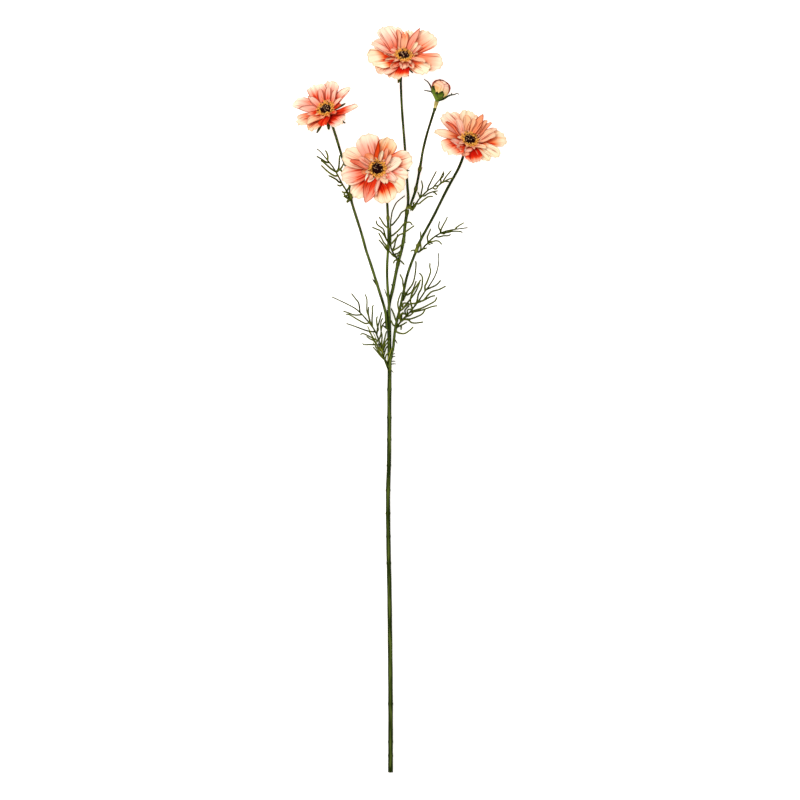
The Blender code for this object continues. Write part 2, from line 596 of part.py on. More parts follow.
def make_bud():
    """Make the bud on its collar: a calyx with raised sepals round the folded petals."""
    turn = UP.rotation_difference(BUD_AXIS)
    holder = bpy.data.objects.new("bud_holder", None)
    bpy.context.scene.collection.objects.link(holder)
    holder.location = BUD_BASE * MM
    holder.rotation_mode = "QUATERNION"
    holder.rotation_quaternion = turn
    make_calyx("bud_calyx", BUD_CALYX_PROFILE, BUD_SEPAL_REACH, BUD_SEPAL_SLOPE, holder)
    make_turned("bud_petals", BUD_CORE_PROFILE, 4 * BUD_LOBES, "petal_pink", holder,
                BUD_LOBES, BUD_LOBE_DEPTH)
    start = Vector(BUD_ROUTE[-1])
    end = BUD_BASE - BUD_AXIS.normalized() * 2 * GAP
    way = (end - start).normalized()
    collar = [start + way * GAP, end]
    make_tube("bud_collar", collar, BUD_COLLAR_RADII, "collar_olive")


def nearest_distance(samples, point):
    """Return how far along a polyline its nearest place to a point in plan lies."""
    best = (math.inf, 0.0)
    travelled = 0.0
    for a, b in zip(samples, samples[1:]):
        span = b - a
        t = (point - a).xy.dot(span.xy) / span.xy.length_squared
        t = min(1.0, max(0.0, t))
        away = (a + span * t - point).xy.length
        best = min(best, (away, travelled + span.length * t))
        travelled += span.length
    return best[1]


def square_section(centre, direction, radius):
    """Return four corners round a direction: right top, left top, left bottom, right bottom."""
    side = direction.cross(UP).normalized() * radius * math.sqrt(0.5)
    rise = side.cross(direction)
    return [centre + side + rise, centre - side + rise, centre - side - rise, centre + side - rise]


def make_leaf(name, low, high, stalk, shoots):
    """Make one feathery leaf: a stalk with a thread growing out of its side at each shoot.

    The stalk rises evenly from its root to its tip.  Every shoot takes one side of a
    short stretch of the stalk and tapers along its own smooth curve.
    """
    last = len(stalk) - 1
    route = [(x, y, low + (high - low) * i / last) for i, (x, y) in enumerate(stalk)]
    samples = smooth_route(route, 1.0)
    total = sum((b - a).length for a, b in zip(samples, samples[1:]))
    starts = sorted((nearest_distance(samples, Vector((*shoot[0], 0))), k)
                    for k, shoot in enumerate(shoots))
    stations = []
    owners = {}
    reached = 0.0
    for distance, k in starts:
        begin = max(distance - SHOOT_BASE / 2, reached + 0.2)
        gaps = math.ceil((begin - reached) / STALK_SPACING)
        stations += [reached + (begin - reached) * i / gaps for i in range(gaps)]
        owners[len(stations)] = k
        stations.append(begin)
        reached = begin + SHOOT_BASE
    gaps = math.ceil((total - reached) / STALK_SPACING)
    stations += [reached + (total - reached) * i / gaps for i in range(gaps + 1)]
    points = resample(samples, stations)
    ways = directions(points)
    bm = bmesh.new()
    rings = []
    for point, way, distance in zip(points, ways, stations):
        radius = LEAF_STALK_RADII[0] + (LEAF_STALK_RADII[1] - LEAF_STALK_RADII[0]) * distance / total
        rings.append(new_ring(bm, square_section(point, way, radius)))
    close_strip(bm, rings[0])
    close_strip(bm, rings[-1])
    for i, (near, far) in enumerate(zip(rings, rings[1:])):
        if i not in owners:
            join_rings(bm, near, far)
            continue
        shoot = shoots[owners[i]]
        towards = Vector((*shoot[-1], 0)) - points[i]
        right = ways[i].cross(UP).dot(towards) > 0
        join_rings(bm, near, far, skipped=(3,) if right else (1,))
        if right:
            ring = [near[0], far[0], far[3], near[3]]
        else:
            ring = [far[1], near[1], near[2], far[2]]
        middle = (points[i] + points[i + 1]) / 2
        grow_shoot(bm, ring, middle, shoot[1:], SHOOT_SLOPES[owners[i] % len(SHOOT_SLOPES)])
    return add_piece(name, bm, "leaf_green")


def grow_shoot(bm, ring, root, points, slope):
    """Grow one tapering thread out of a side of the stalk, rising with the slope."""
    route = [root]
    travelled = 0.0
    for x, y in points:
        travelled += (Vector((x, y)) - route[-1].xy).length
        route.append(Vector((x, y, max(LOWEST_THREAD, root.z + slope * travelled))))
    centres = smooth_route(route, min(SHOOT_STEP, travelled / 2))
    ways = directions(centres)
    last = len(centres) - 1
    sections = []
    for i in range(1, last + 1):
        radius = SHOOT_RADII[0] + (SHOOT_RADII[1] - SHOOT_RADII[0]) * i / last
        sections.append(square_section(centres[i], ways[i], radius))
    sweep(bm, ring, sections)


def main():
    """Build the whole spray."""
    clear_scene()
    necks = {name: make_blossom(name, *rest) for name, *rest in BLOSSOMS}
    make_main_stem()
    make_branch("centre_branch", CENTRE_ROUTE, CENTRE_RADII)
    make_branch("top_branch", TOP_ROUTE, TOP_RADII, necks["top"])
    make_branch("left_branch", LEFT_ROUTE, LEFT_RADII, necks["left"])
    make_branch("front_branch", FRONT_ROUTE, FRONT_RADII, necks["front"])
    make_branch("right_branch", RIGHT_ROUTE, RIGHT_RADII, necks["right"])
    make_branch("bud_branch", BUD_ROUTE, BUD_RADII)
    make_bud()
    for leaf in LEAVES:
        make_leaf(*leaf)


main()
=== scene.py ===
"""Looks of the artificial cosmos spray: fabric petals, moulded plastic stems, threads and centres.

The spray lies on a pale floor along +Y and is seen from straight above.  Lengths are in
millimetres until a mesh is made, apart from the stage's.  Every piece is a closed skin: rings of
points worked out as whole arrays, joined ring to ring.
"""
import math

import bpy
import numpy as np
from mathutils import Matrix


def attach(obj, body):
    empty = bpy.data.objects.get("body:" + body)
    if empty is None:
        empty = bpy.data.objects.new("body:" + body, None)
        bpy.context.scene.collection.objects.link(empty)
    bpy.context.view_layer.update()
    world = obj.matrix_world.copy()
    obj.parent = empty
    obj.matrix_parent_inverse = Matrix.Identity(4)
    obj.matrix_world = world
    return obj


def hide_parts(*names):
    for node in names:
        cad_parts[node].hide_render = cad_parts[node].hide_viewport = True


bl_info = {
    "name": "Artificial Cosmos Spray",
    "version": (1, 0, 0),
    "blender": (4, 5, 0),
    "location": "View3D > Sidebar > Cosmos",
    "description": "Builds the petals, stems, leaves, bud and stage of an artificial cosmos spray",
    "category": "Object",
}

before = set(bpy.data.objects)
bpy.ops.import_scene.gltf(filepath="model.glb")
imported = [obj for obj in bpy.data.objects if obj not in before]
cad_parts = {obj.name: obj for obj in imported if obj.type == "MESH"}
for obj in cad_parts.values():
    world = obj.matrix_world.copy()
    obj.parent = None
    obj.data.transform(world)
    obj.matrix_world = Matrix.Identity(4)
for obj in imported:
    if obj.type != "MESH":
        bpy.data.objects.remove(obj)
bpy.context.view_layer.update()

MM = 0.001
UP = np.array((0.0, 0.0, 1.0))
SIDEWAYS = np.array((1.0, 0.0, 0.0))
CURVE_STEPS = 16  # samples of a smooth route between two of its points
LAST_LATITUDE = 0.42 * math.pi  # of a ball's rings, next to its poles
SHARP_ANGLE = math.radians(50)  # edges that turn by more are not smoothed
GOLDEN_ANGLE = math.pi * (3 - math.sqrt(5))
FLOOR_ROOM = 0.15  # petals and flat sepals come no nearer to the floor than this

# ---------------------------------------------------------------- stage, in metres
FLOOR_GLOW = 0.65  # light that the floor gives by itself
LAMP_SIZE = 0.9
LAMP_PLACE = (-0.9, 0.9, 1.9)
LAMP_TURN = (math.radians(-31), math.radians(-22), 0)
SENSOR_WIDTH = 36
SEEN_HEIGHT = 0.015  # the camera sees its set width at this height
VIEW_MIDDLE = (-0.0005, -0.0015)
FAR_LIMIT = 100

# ---------------------------------------------------------------- printed and moulded looks
STREAK_STRETCH = (3.2, 0.9)  # across and along a petal, in cells of the noise
CREASE_STRETCH = (4.5, 0.7)
FOLD_STRETCH = (3.3, 0.45)
CREASE_LIMITS = (0.55, 0.70)  # values of a noise between which a mark comes in
FOLD_LIMITS = (0.44, 0.58)
PATCH_LIMITS = (0.30, 0.62)
FOLD_START = (0.12, 0.35)  # shares of a petal's length between which folds come in, or go
FOLD_END = (1.0, 0.72)
EDGE_START = (0.94, 1.0)
FOLD_CORE = 0.008  # the darkest part of a fold's painted shade, as a value of its noise
# margin in millimetres within which the painted shade along a petal's sides, the painted shadow where
# petals overlap, is darkest
PAINTED_RIM_SHADE_CORE = 0.2
VEINS = 34.0  # radians of their wave from the midrib to the edge
VEIN_SHARE = 0.35  # of the relief
WEAVE_SCALE = 2600.0
FABRIC_BUMP = 0.00012
MOULDED_BUMP = 0.0002
FINE_BUMP = 0.0001
SIDE_SHADE_WEIGHT = 0.28  # how far the painted shade darkens the sides of a stem or thread against its crown; it also weighs the darker tones of the cut end and the branches

# ---------------------------------------------------------------- stems
MAIN_ROUTE = (
    (-10.0, -374.7, 2.55), (-10.0, -300.0, 2.85), (-11.0, -200.0, 3.1),
    (-12.0, -150.0, 3.3), (-12.5, -98.0, 3.6), (-11.5, -60.0, 3.8),
    (-11.2, 0.0, 4.4), (-11.0, 45.0, 4.9), (-11.8, 89.0, 5.4),
)
CENTRE_ROUTE = (
    (-11.7, 89.6, 5.4), (-10.5, 98.5, 5.5), (-7.5, 110.5, 5.6), (-5.0, 123.5, 5.7),
    (-2.0, 137.5, 5.8), (1.0, 148.5, 5.9), (3.3, 160.5, 5.9), (4.4, 172.5, 6.0),
    (6.0, 183.5, 6.0), (7.0, 189.5, 6.0),
)
TOP_ROUTE = (
    (7.1, 189.8, 6.0), (7.7, 200.5, 5.8), (6.8, 215.0, 5.4), (4.5, 249.5, 4.6),
    (3.0, 268.5, 4.2), (1.5, 288.5, 3.8), (0.6, 306.0, 3.9), (0.4, 318.0, 4.8),
)
BUD_ROUTE = (
    (9.2, 190.2, 7.6), (10.7, 195.5, 7.6), (14.5, 206.5, 7.4), (17.2, 218.5, 7.2),
    (20.0, 233.5, 7.1), (22.5, 248.5, 7.1), (26.4, 264.5, 7.3), (31.0, 279.5, 7.8),
    (34.6, 290.8, 8.4),
)
LEFT_ROUTE = (
    (-13.8, 70.0, 7.9), (-14.2, 77.0, 7.8), (-14.8, 85.0, 7.3), (-17.2, 94.5, 6.6),
    (-21.0, 106.5, 6.0), (-29.5, 133.5, 5.0), (-34.5, 148.5, 4.6), (-39.5, 166.5, 4.2),
    (-48.0, 193.5, 3.8), (-49.9, 203.5, 3.7), (-50.9, 213.5, 3.6), (-53.7, 229.0, 3.4),
    (-55.4, 234.5, 3.3), (-59.0, 243.5, 3.2), (-65.0, 263.5, 3.0),
)
FRONT_ROUTE = (
    (-11.3, 82.0, 8.8), (-11.6, 93.5, 9.0), (-12.4, 104.5, 9.0), (-13.3, 118.5, 8.8),
    (-13.4, 133.5, 8.5), (-12.0, 158.5, 8.0), (-12.5, 178.5, 7.6), (-13.5, 197.5, 7.4),
    (-15.4, 208.0, 7.5), (-18.8, 217.5, 8.0), (-21.8, 224.5, 10.2),
)
RIGHT_ROUTE = (
    (-11.0, 31.0, 8.0), (-9.6, 40.5, 7.8), (-8.4, 46.0, 7.3), (-7.1, 52.0, 6.6),
    (-6.5, 58.5, 6.2), (-5.0, 71.5, 6.0), (-1.0, 88.5, 5.8), (3.0, 106.5, 5.6),
    (5.5, 118.5, 5.5), (9.0, 130.5, 5.4), (15.5, 147.5, 5.2), (20.5, 159.5, 5.1),
    (33.0, 182.5, 4.8), (46.0, 208.5, 4.4), (58.5, 231.5, 4.0),
)
MAIN_JOINTS = (-358, -344, -306, -165, -138, -115, -92, -67, -41, -19, 9)  # their Y
JOINT_HALF_LENGTH = 2.2
STEM_STEP = 1.2  # from ring to ring of a stem or branch
STEM_SIDES = 24
STEM_RIDGES = 6
STEM_RIPPLE = 5.0  # length over which a ripple turns by a radian
STEM_RELIEF = 0.05  # height of the ridges and of the ripples
PALE_RING = (31.0, 2.0, 0.55)  # its Y, its half length and how pale it is
CUT_LENGTH = 5.0  # of the dark cut end
CUT_SHADE = 2.0  # added to the side shade value there, to darken the cut end
BRANCH_SIDES = 16
BRANCH_RIPPLE = 4.0
BRANCH_RELIEF = 0.04

# route, radii at the foot and at the tip, shades at the foot and at the tip, and the blossom
# that the branch carries
BRANCHES = {
    "centre_branch": (CENTRE_ROUTE, 1.65, 1.6, (-0.4, -0.2), None),
    "top_branch": (TOP_ROUTE, 1.35, 1.2, (0.2, 0.45), "top"),
    "left_branch": (LEFT_ROUTE, 1.42, 1.3, (-0.4, -0.1), "left"),
    "front_branch": (FRONT_ROUTE, 1.38, 1.28, (-0.5, -0.5), "front"),
    "right_branch": (RIGHT_ROUTE, 1.35, 1.38, (-0.6, 0.9), "right"),
    "bud_branch": (BUD_ROUTE, 1.36, 1.26, (0.3, 0.5), None),
}

# swellings of the branches: the Y of each, what it adds to the radius, how pale it is
BRANCH_KNOTS = {
    "centre_branch": ((135.0, 0.5, 0.1), (158.0, 0.3, 0.0), (186.5, 0.6, 0.2)),
    "top_branch": ((190.0, 0.8, 0.7), (201.0, 0.2, 0.1)),
    "bud_branch": ((190.5, 0.6, 0.5), (210.0, 0.7, 0.25), (229.5, 0.8, 0.3), (290.2, 0.5, 0.0)),
    "left_branch": ((115.5, 0.3, 0.1), (202.0, 0.5, 0.3)),
    "front_branch": ((150.0, 0.5, 0.2), (180.5, 0.5, 0.3)),
    "right_branch": ((148.5, 0.7, 0.5), (153.5, 0.6, 0.3)),
}
# thin scales and stubs on the branches: their ends seen from above
BRANCH_BITS = {
    "centre_branch": (((-3.5, 126.5), (-6.3, 127.5)), ((2.5, 157.5), (5.3, 156.0)),
                      ((-7.5, 112.0), (-9.3, 114.5))),
    "top_branch": (((6.5, 190.5), (3.6, 188.2)),),
    "bud_branch": (((20.5, 230.0), (22.3, 231.0)), ((19.5, 229.0), (18.3, 230.5))),
    "left_branch": (((-23.5, 112.5), (-28.4, 120.3)), ((-23.5, 110.5), (-27.6, 118.6)),
                    ((-49.0, 200.0), (-46.3, 203.5))),
    "front_branch": (((-12.3, 99.0), (-14.5, 105.0), (-16.0, 109.8)),
                     ((-12.3, 179.5), (-10.6, 182.0))),
    "right_branch": (((-6.5, 61.0), (-5.0, 58.0), (-3.2, 55.0)), ((16.5, 151.5), (15.0, 154.5))),
}
# short threads that stand off the main stem at the foot of the lowest leaf
STEM_THREADS = (
    ((-10.5, 44.5), (-7.5, 47.5), (-6.0, 48.8)), ((-10.5, 42.0), (-7.0, 44.5), (-5.5, 45.5)),
    ((-10.5, 40.5), (-7.0, 42.0), (-4.9, 42.1)), ((-11.5, 36.0), (-8.0, 37.3), (-4.9, 37.2)),
    ((-11.5, 34.0), (-7.5, 34.7), (-3.9, 34.5)), ((-12.0, 32.5), (-9.5, 28.5), (-6.8, 26.1)),
)
LEAF_FOOT = ((-11.2, 28.0), (-13.4, 33.6), (-15.8, 39.2))
# rise per length and the radii at the foot and at the tip: of those threads, of the bits and
# of the leaf's foot
STEM_THREAD = (0.2, 0.6, 0.4)
BRANCH_BIT = (0.15, 0.75, 0.45)
LEAF_STUMP = (0.25, 1.7, 1.2)

# ---------------------------------------------------------------- blossoms
HUB_RADIUS = 7.0  # beyond it the petals turn to their own bearings
FIRST_LAYER = 0.45  # height of the outer petals' roots above the hub
LAYER_PITCH = 1.2  # from one layer of petals to the next
CALYX_DEPTH = 10.0  # from the hub down to the calyx's foot
NECK_LENGTH = 4.0  # straight end of a branch under the calyx
JOINT_GAP = 0.3  # between a branch and the calyx
FACE_HEIGHT = 6.0  # the seen centre stands this far above the hub
ROLLS = (4, 13)  # least and most degrees that a petal rolls to one side
WAVE_HEIGHT = 0.6  # of the slow wave along a petal
ROOT_LENGTH = 0.4  # share of a petal whose tone is deeper: partly the petal's own red root, partly painted shade towards the hub
EDGE_LINES = (0.5, 0.3, 0.05)  # how dark the line at the edge is, layer after layer
STREAK_STEPS = (97.0, 31.0, 7.0)  # moves the noise from blossom, layer and petal to the next

# name, where the centre is seen from above, height of the hub, tilt, bearing of the tilt
BLOSSOMS = {
    "top": ((3.5, 343.5), 18.25, 43, 80),
    "left": ((-74.9, 290.0), 15.45, 38, 113),
    "front": ((-23.0, 229.5), 26.0, 6, 90),
    "right": ((69.5, 259.5), 16.35, 40, 67),
}

# how wide a petal is at its root, where along it is widest, how wide it ends, how round its
# tip is, lobes at the tip and their depth, height of the frill, pleats and their height, and
# how many degrees it bends sideways
KINDS = {
    "broad": (0.34, 0.80, 0.86, 0.15, 3, 0.040, 0.9, 2.5, 0.65, 0),
    "slim": (0.42, 0.66, 0.66, 0.13, 2, 0.030, 0.4, 1.5, 0.30, 0),
    "bent": (0.42, 0.66, 0.60, 0.13, 2, 0.030, 0.4, 1.5, 0.30, 21),
    "pointed": (0.55, 0.45, 0.10, 0.00, 0, 0.000, 0.1, 1.0, 0.25, 0),
    "ruffled": (0.50, 0.62, 0.70, 0.12, 2, 0.045, 0.7, 1.5, 0.45, 0),
    "shred": (0.60, 0.50, 0.45, 0.05, 1, 0.100, 0.4, 1.0, 0.30, 0),
}

# Each petal: kind, bearing in degrees, reach, width, rise of the tip, curl of the edges in
# degrees; its tones at the root and at the tip, and the shares of its length from which and to
# which the first turns into the second; how pink it is, and how strong the painted shade along
# its sides is, which stands for the shadow where petals overlap.  A tone goes from 0, deep red,
# through vermilion, coral and peach or pink to 1, cream.
OUTER_PETALS = {
    "top": (
        ("broad", 41.5, 42, 24, 8, 14, 0.42, 1.00, 0.40, 0.98, 0.6, 0.2),
        ("broad", 76, 31.5, 14, 9, 14, 0.62, 1.00, 0.35, 0.90, 0.2, 0.2),
        ("broad", 118, 39.5, 29, 10, 14, 0.25, 1.00, 0.15, 0.88, 0.9, 0.2),
        ("broad", 198, 38.5, 32, 6, 12, 0.18, 1.00, 0.40, 0.70, 0.2, 0.2),
        ("broad", 226, 39.7, 20, 5, 16, 0.45, 0.88, 0.30, 1.00, 0.8, 0.2),
        ("broad", 251, 36.5, 26, 5, 16, 0.00, 0.90, 0.50, 1.00, 0.4, 0.3),
        ("broad", 313, 33.2, 19.5, 5, 16, 0.30, 1.00, 0.38, 0.66, 0.2, 0.2),
        ("broad", 341, 40.5, 23.5, 6, 18, 0.38, 0.96, 0.40, 1.00, 0.6, 0.3),
    ),
    "left": (
        ("slim", 44, 33.5, 11.5, 7, 30, 0.20, 0.95, 0.35, 0.75, 0.9, 0.8),
        ("broad", 81, 33, 17, 7, 22, 0.42, 1.00, 0.40, 1.00, 1.0, 0.6),
        ("broad", 115, 32, 20, 8, 22, 0.38, 1.00, 0.45, 0.95, 0.9, 0.8),
        ("broad", 163, 36.3, 18.5, 6, 22, 0.45, 1.00, 0.40, 0.98, 1.0, 0.6),
        ("broad", 211, 32.7, 18.5, 5, 20, 0.30, 0.95, 0.40, 0.95, 0.5, 0.3),
        ("broad", 241, 30, 14, 4, 16, 0.50, 0.95, 0.50, 1.00, 0.3, 0.2),
        ("broad", 314, 27, 19, 4, 16, 0.02, 0.95, 0.40, 0.90, 1.0, 0.2),
        ("bent", 356.4, 34.5, 11.3, 7, 30, 0.10, 0.95, 0.40, 0.90, 0.9, 0.7),
    ),
    "front": (
        ("broad", 18, 36.5, 21, 6, 18, 0.38, 1.00, 0.48, 0.88, 0.6, 0.3),
        ("broad", 66.5, 33.5, 19.5, 6, 18, 0.46, 0.94, 0.40, 0.95, 0.1, 0.8),
        ("broad", 111, 37, 25, 6, 16, 0.60, 1.00, 0.50, 0.95, 0.9, 0.2),
        ("broad", 156, 38, 22, 6, 16, 0.64, 1.00, 0.30, 0.80, 0.5, 0.4),
        ("broad", 195, 37.5, 21, 6, 18, 0.34, 1.00, 0.42, 0.88, 0.9, 0.3),
        ("broad", 230, 37.5, 19, 5, 16, 0.14, 1.00, 0.42, 0.90, 0.6, 0.3),
        ("broad", 287, 36.3, 24, 5, 14, 0.06, 1.00, 0.44, 0.88, 0.3, 0.2),
        ("broad", 320, 34, 18, 5, 16, 0.55, 1.00, 0.30, 0.70, 0.2, 0.2),
        ("broad", 345, 32, 15, 6, 16, 0.38, 1.00, 0.38, 0.78, 1.0, 0.2),
    ),
    "right": (
        ("broad", 5, 38.6, 21, 6, 20, 0.26, 0.98, 0.48, 0.90, 0.2, 0.4),
        ("broad", 90, 34.5, 20, 8, 16, 0.55, 0.97, 0.40, 0.75, 0.2, 0.2),
        ("broad", 133, 38, 28, 8, 16, 0.60, 1.00, 0.40, 0.95, 0.8, 0.2),
        ("slim", 173, 37.5, 11, 6, 26, 0.30, 0.97, 0.25, 0.75, 0.3, 0.7),
        ("broad", 214.5, 33.9, 27, 5, 16, 0.24, 0.99, 0.48, 0.92, 0.6, 0.3),
        ("slim", 247, 23.5, 12, 4, 16, 0.10, 0.70, 0.30, 1.00, 0.5, 0.3),
        ("broad", 276, 29, 18, 4, 16, 0.00, 0.78, 0.60, 1.02, 0.7, 0.2),
        ("broad", 306, 31, 12, 5, 16, 0.50, 1.00, 0.25, 0.50, 0.1, 0.2),
        ("broad", 328, 34.5, 15, 6, 16, 0.30, 1.00, 0.30, 0.55, 0.1, 0.3),
    ),
}
MIDDLE_PETALS = {
    "top": (
        ("slim", 30, 20.5, 6, 8, 80, 0.62, 0.85, 0.30, 0.80, 0.9, 0.3),
        ("slim", 46, 20.5, 6, 8, 80, 0.70, 0.95, 0.20, 0.80, 0.3, 0.3),
        ("pointed", 62, 35.5, 8, 11.5, 40, 0.45, 0.56, 0.30, 0.80, 0.9, 0.7),
        ("slim", 86, 28.5, 9, 9, 50, 0.62, 0.42, 0.45, 0.95, 0.4, 1.0),
        ("slim", 101, 31.5, 6, 9, 40, 0.62, 0.60, 0.40, 0.90, 0.6, 1.0),
        ("broad", 161, 35, 17, 7, 20, 0.50, 0.88, 0.30, 0.75, 0.9, 0.3),
        ("ruffled", 178, 20, 8, 4, 60, 0.45, 0.80, 0.20, 0.70, 0.3, 0.9),
        ("ruffled", 208, 22, 8, 4, 60, 0.35, 0.82, 0.20, 0.70, 0.3, 0.9),
        ("ruffled", 236, 26, 8, 4, 50, 0.25, 0.74, 0.30, 0.80, 0.3, 0.8),
        ("ruffled", 264, 20.5, 11, 4.5, 40, 0.42, 0.74, 0.20, 0.70, 0.6, 0.5),
        ("ruffled", 290, 22, 9, 4.5, 60, 0.50, 0.78, 0.20, 0.70, 0.5, 0.5),
        ("slim", 330, 24, 8, 7, 50, 0.55, 0.80, 0.30, 0.80, 0.5, 0.3),
    ),
    "left": (
        ("slim", 5, 17, 6, 7, 40, 0.05, 0.30, 0.30, 0.90, 0.6, 0.7),
        ("slim", 28, 19, 6, 8, 40, 0.35, 0.88, 0.20, 0.80, 0.9, 0.7),
        ("slim", 62, 22, 6, 8, 40, 0.35, 0.82, 0.20, 0.90, 0.9, 0.8),
        ("slim", 84, 24, 7, 8, 45, 0.28, 0.80, 0.35, 0.90, 1.0, 0.8),
        ("slim", 108, 23, 7, 8, 45, 0.38, 0.70, 0.30, 0.90, 1.0, 0.9),
        ("pointed", 142, 24, 8, 8, 40, 0.45, 0.85, 0.20, 0.90, 1.0, 0.8),
        ("pointed", 180, 27, 10, 7, 40, 0.45, 0.88, 0.20, 0.90, 1.0, 0.8),
        ("pointed", 205, 20, 8, 7, 40, 0.12, 0.62, 0.40, 0.90, 0.8, 0.5),
        ("pointed", 228, 26, 11, 6, 40, 0.50, 0.85, 0.20, 0.90, 0.3, 0.5),
        ("broad", 268, 22.5, 12, 5, 24, 0.00, 0.22, 0.30, 1.00, 0.6, 0.2),
        ("slim", 325, 16, 7, 7, 40, 0.05, 0.40, 0.30, 1.00, 0.7, 0.6),
    ),
    "front": (
        ("slim", 19, 25.5, 12, 6, 26, 0.86, 0.97, 0.20, 0.80, 0.8, 0.2),
        ("slim", 45, 19, 6, 8, 60, 0.55, 0.80, 0.20, 0.80, 0.7, 0.7),
        ("slim", 62, 23, 6, 8, 60, 0.35, 0.62, 0.30, 0.90, 0.5, 0.9),
        ("slim", 72, 18, 5, 9, 70, 0.75, 0.98, 0.20, 0.80, 0.3, 0.3),
        ("pointed", 88, 27, 5.5, 9, 50, 0.26, 0.20, 0.20, 0.80, 0.0, 0.9),
        ("broad", 132, 18.5, 10, 7, 30, 0.62, 0.48, 0.50, 1.00, 0.2, 0.3),
        ("slim", 150, 22, 7, 8, 40, 0.58, 0.68, 0.50, 1.00, 0.8, 0.6),
        ("slim", 165, 28.5, 7, 8, 60, 0.50, 0.34, 0.20, 0.80, 0.8, 0.9),
        ("shred", 190, 17, 7, 4, 40, 0.25, 0.50, 0.40, 0.90, 0.2, 0.3),
        ("shred", 230, 18.5, 9, 4, 30, 0.80, 1.00, 0.20, 0.70, 0.9, 0.0),
        ("pointed", 251, 36.8, 16.5, 6, 30, 0.16, 0.60, 0.35, 0.95, 0.9, 0.6),
        ("slim", 267, 28, 4, 6, 40, 0.60, 0.85, 0.30, 0.80, 0.9, 0.2),
        ("shred", 300, 18, 9, 4, 30, 0.60, 0.90, 0.20, 0.70, 0.3, 0.1),
        ("shred", 327, 23, 9, 5, 40, 0.30, 0.88, 0.30, 0.80, 1.0, 0.2),
    ),
    "right": (
        ("broad", 15, 27, 12, 8, 26, 0.64, 0.84, 0.30, 0.90, 0.4, 0.3),
        ("slim", 25, 31.5, 8, 8, 40, 0.62, 0.86, 0.40, 0.90, 0.8, 0.6),
        ("slim", 40, 30.5, 6, 9, 50, 0.45, 0.72, 0.40, 1.00, 0.4, 0.9),
        ("slim", 50, 29, 6, 9, 50, 0.50, 0.68, 0.40, 1.00, 0.3, 0.9),
        ("pointed", 63, 32, 10, 10, 50, 0.50, 0.52, 0.20, 0.80, 0.3, 1.0),
        ("slim", 78, 23, 7, 9, 40, 0.55, 0.72, 0.30, 0.80, 0.2, 0.6),
        ("slim", 97, 26.5, 9, 9, 36, 0.62, 0.74, 0.20, 0.80, 0.2, 0.7),
        ("slim", 122, 25, 8, 8, 36, 0.62, 0.80, 0.20, 0.80, 0.9, 0.3),
        ("slim", 148, 30, 4.5, 8, 50, 0.40, 0.34, 0.20, 0.80, 0.6, 1.0),
        ("ruffled", 195, 21, 9, 4, 40, 0.30, 0.78, 0.20, 0.80, 1.0, 0.6),
        ("ruffled", 222, 20, 9, 4, 40, 0.20, 0.72, 0.20, 0.80, 0.8, 0.6),
        ("ruffled", 250, 18, 9, 4, 40, 0.20, 0.80, 0.20, 0.80, 0.9, 0.6),
        ("slim", 322, 19, 8, 6, 30, 0.70, 0.88, 0.30, 0.90, 0.1, 0.1),
    ),
}
INNER_REACHES = (14.0, 12.5, 15.0, 13.0, 14.5, 12.0, 13.5, 13.0, 14.5, 12.5)
INNER_WIDTH = 5.0
INNER_RISE = 3.0
INNER_CURL = 40
INNER_TONES = {"top": 0.62, "left": 0.58, "front": 0.74, "right": 0.70}
ROOT_TURN = 15.0  # most degrees between the bearings of a petal's root and tip

# the thin sepals behind each blossom that show between its petals: bearing, reach and radius
SEPALS = {
    "top": ((228, 24.8, 0.8), (259, 33.0, 1.9), (281, 23.0, 1.2), (297, 19.5, 1.4),
            (314.5, 27.0, 1.2)),
    "left": ((30, 20.5, 1.6), (249.5, 25.5, 1.7), (278.5, 21.2, 2.0), (323, 24.7, 1.5)),
    "front": ((358, 32.0, 1.1),),
    "right": ((172, 22.4, 0.9), (231, 21.5, 0.8)),
}
# the short ones that the petals hide: their reach and bearings
SHORT_SEPALS = {
    "top": (14.0, (20, 75, 130, 180)),
    "left": (13.0, (75, 120, 165, 205)),
    "front": (15.0, (45, 90, 135, 180, 225, 270, 315)),
    "right": (14.0, (15, 60, 105, 140, 275, 320)),
}
SEPAL_DROPS = np.array((-1.9, -2.1, -2.0))  # heights at a sepal's root, bend and tip
SEPAL_PLACES = (0, 0.3, 0.8, 1)  # shares of its length
SEPAL_WIDTHS = (1.2, 1.0, 0.9, 0.5)  # shares of its radius there
SEPAL_FLATNESS = 0.4
SEPAL_STEP = 0.8  # from ring to ring
SEPAL_SIDES = 10
RIBS = 8
RIB_DEPTH = 0.05  # share of the radius
CALYX_PROFILE = (
    (-CALYX_DEPTH, 1.6), (-9.0, 2.0), (-8.0, 2.4), (-6.2, 3.5), (-4.5, 4.4), (-3.0, 5.1),
    (-1.7, 5.6), (-0.8, 5.5), (-0.3, 5.2),
)

# ---------------------------------------------------------------- centres
CENTRE_SEED = 7  # of the beads and stamens
CENTRE_BASE = 3.6  # height of the ring where dome and stamens meet, above the hub
DOME_FOOT = CENTRE_BASE - 0.8
BEAD_SHAPE = (1, 1, 1.5)  # beads stand taller than they are wide
BEAD_SIZES = (0.75, 1.2)  # least and most of the bead radius
BEAD_SPREAD = 0.12  # how far beads stray
STAMEN_TIP_SHAPE = (1, 1, 1.1)
STAMEN_TIP_SIZES = (0.4, 0.75)
STAMEN_SPREAD = 0.09  # how far stamens stray, in radians
FILAMENT_RADIUS = 0.2
FILAMENT_STEP = 1.2
THIN_SIDES = 5  # of a filament or bristle
RARE = 0.80  # a draw above this gives a bead a painted glint, and makes the tip of a stamen dark
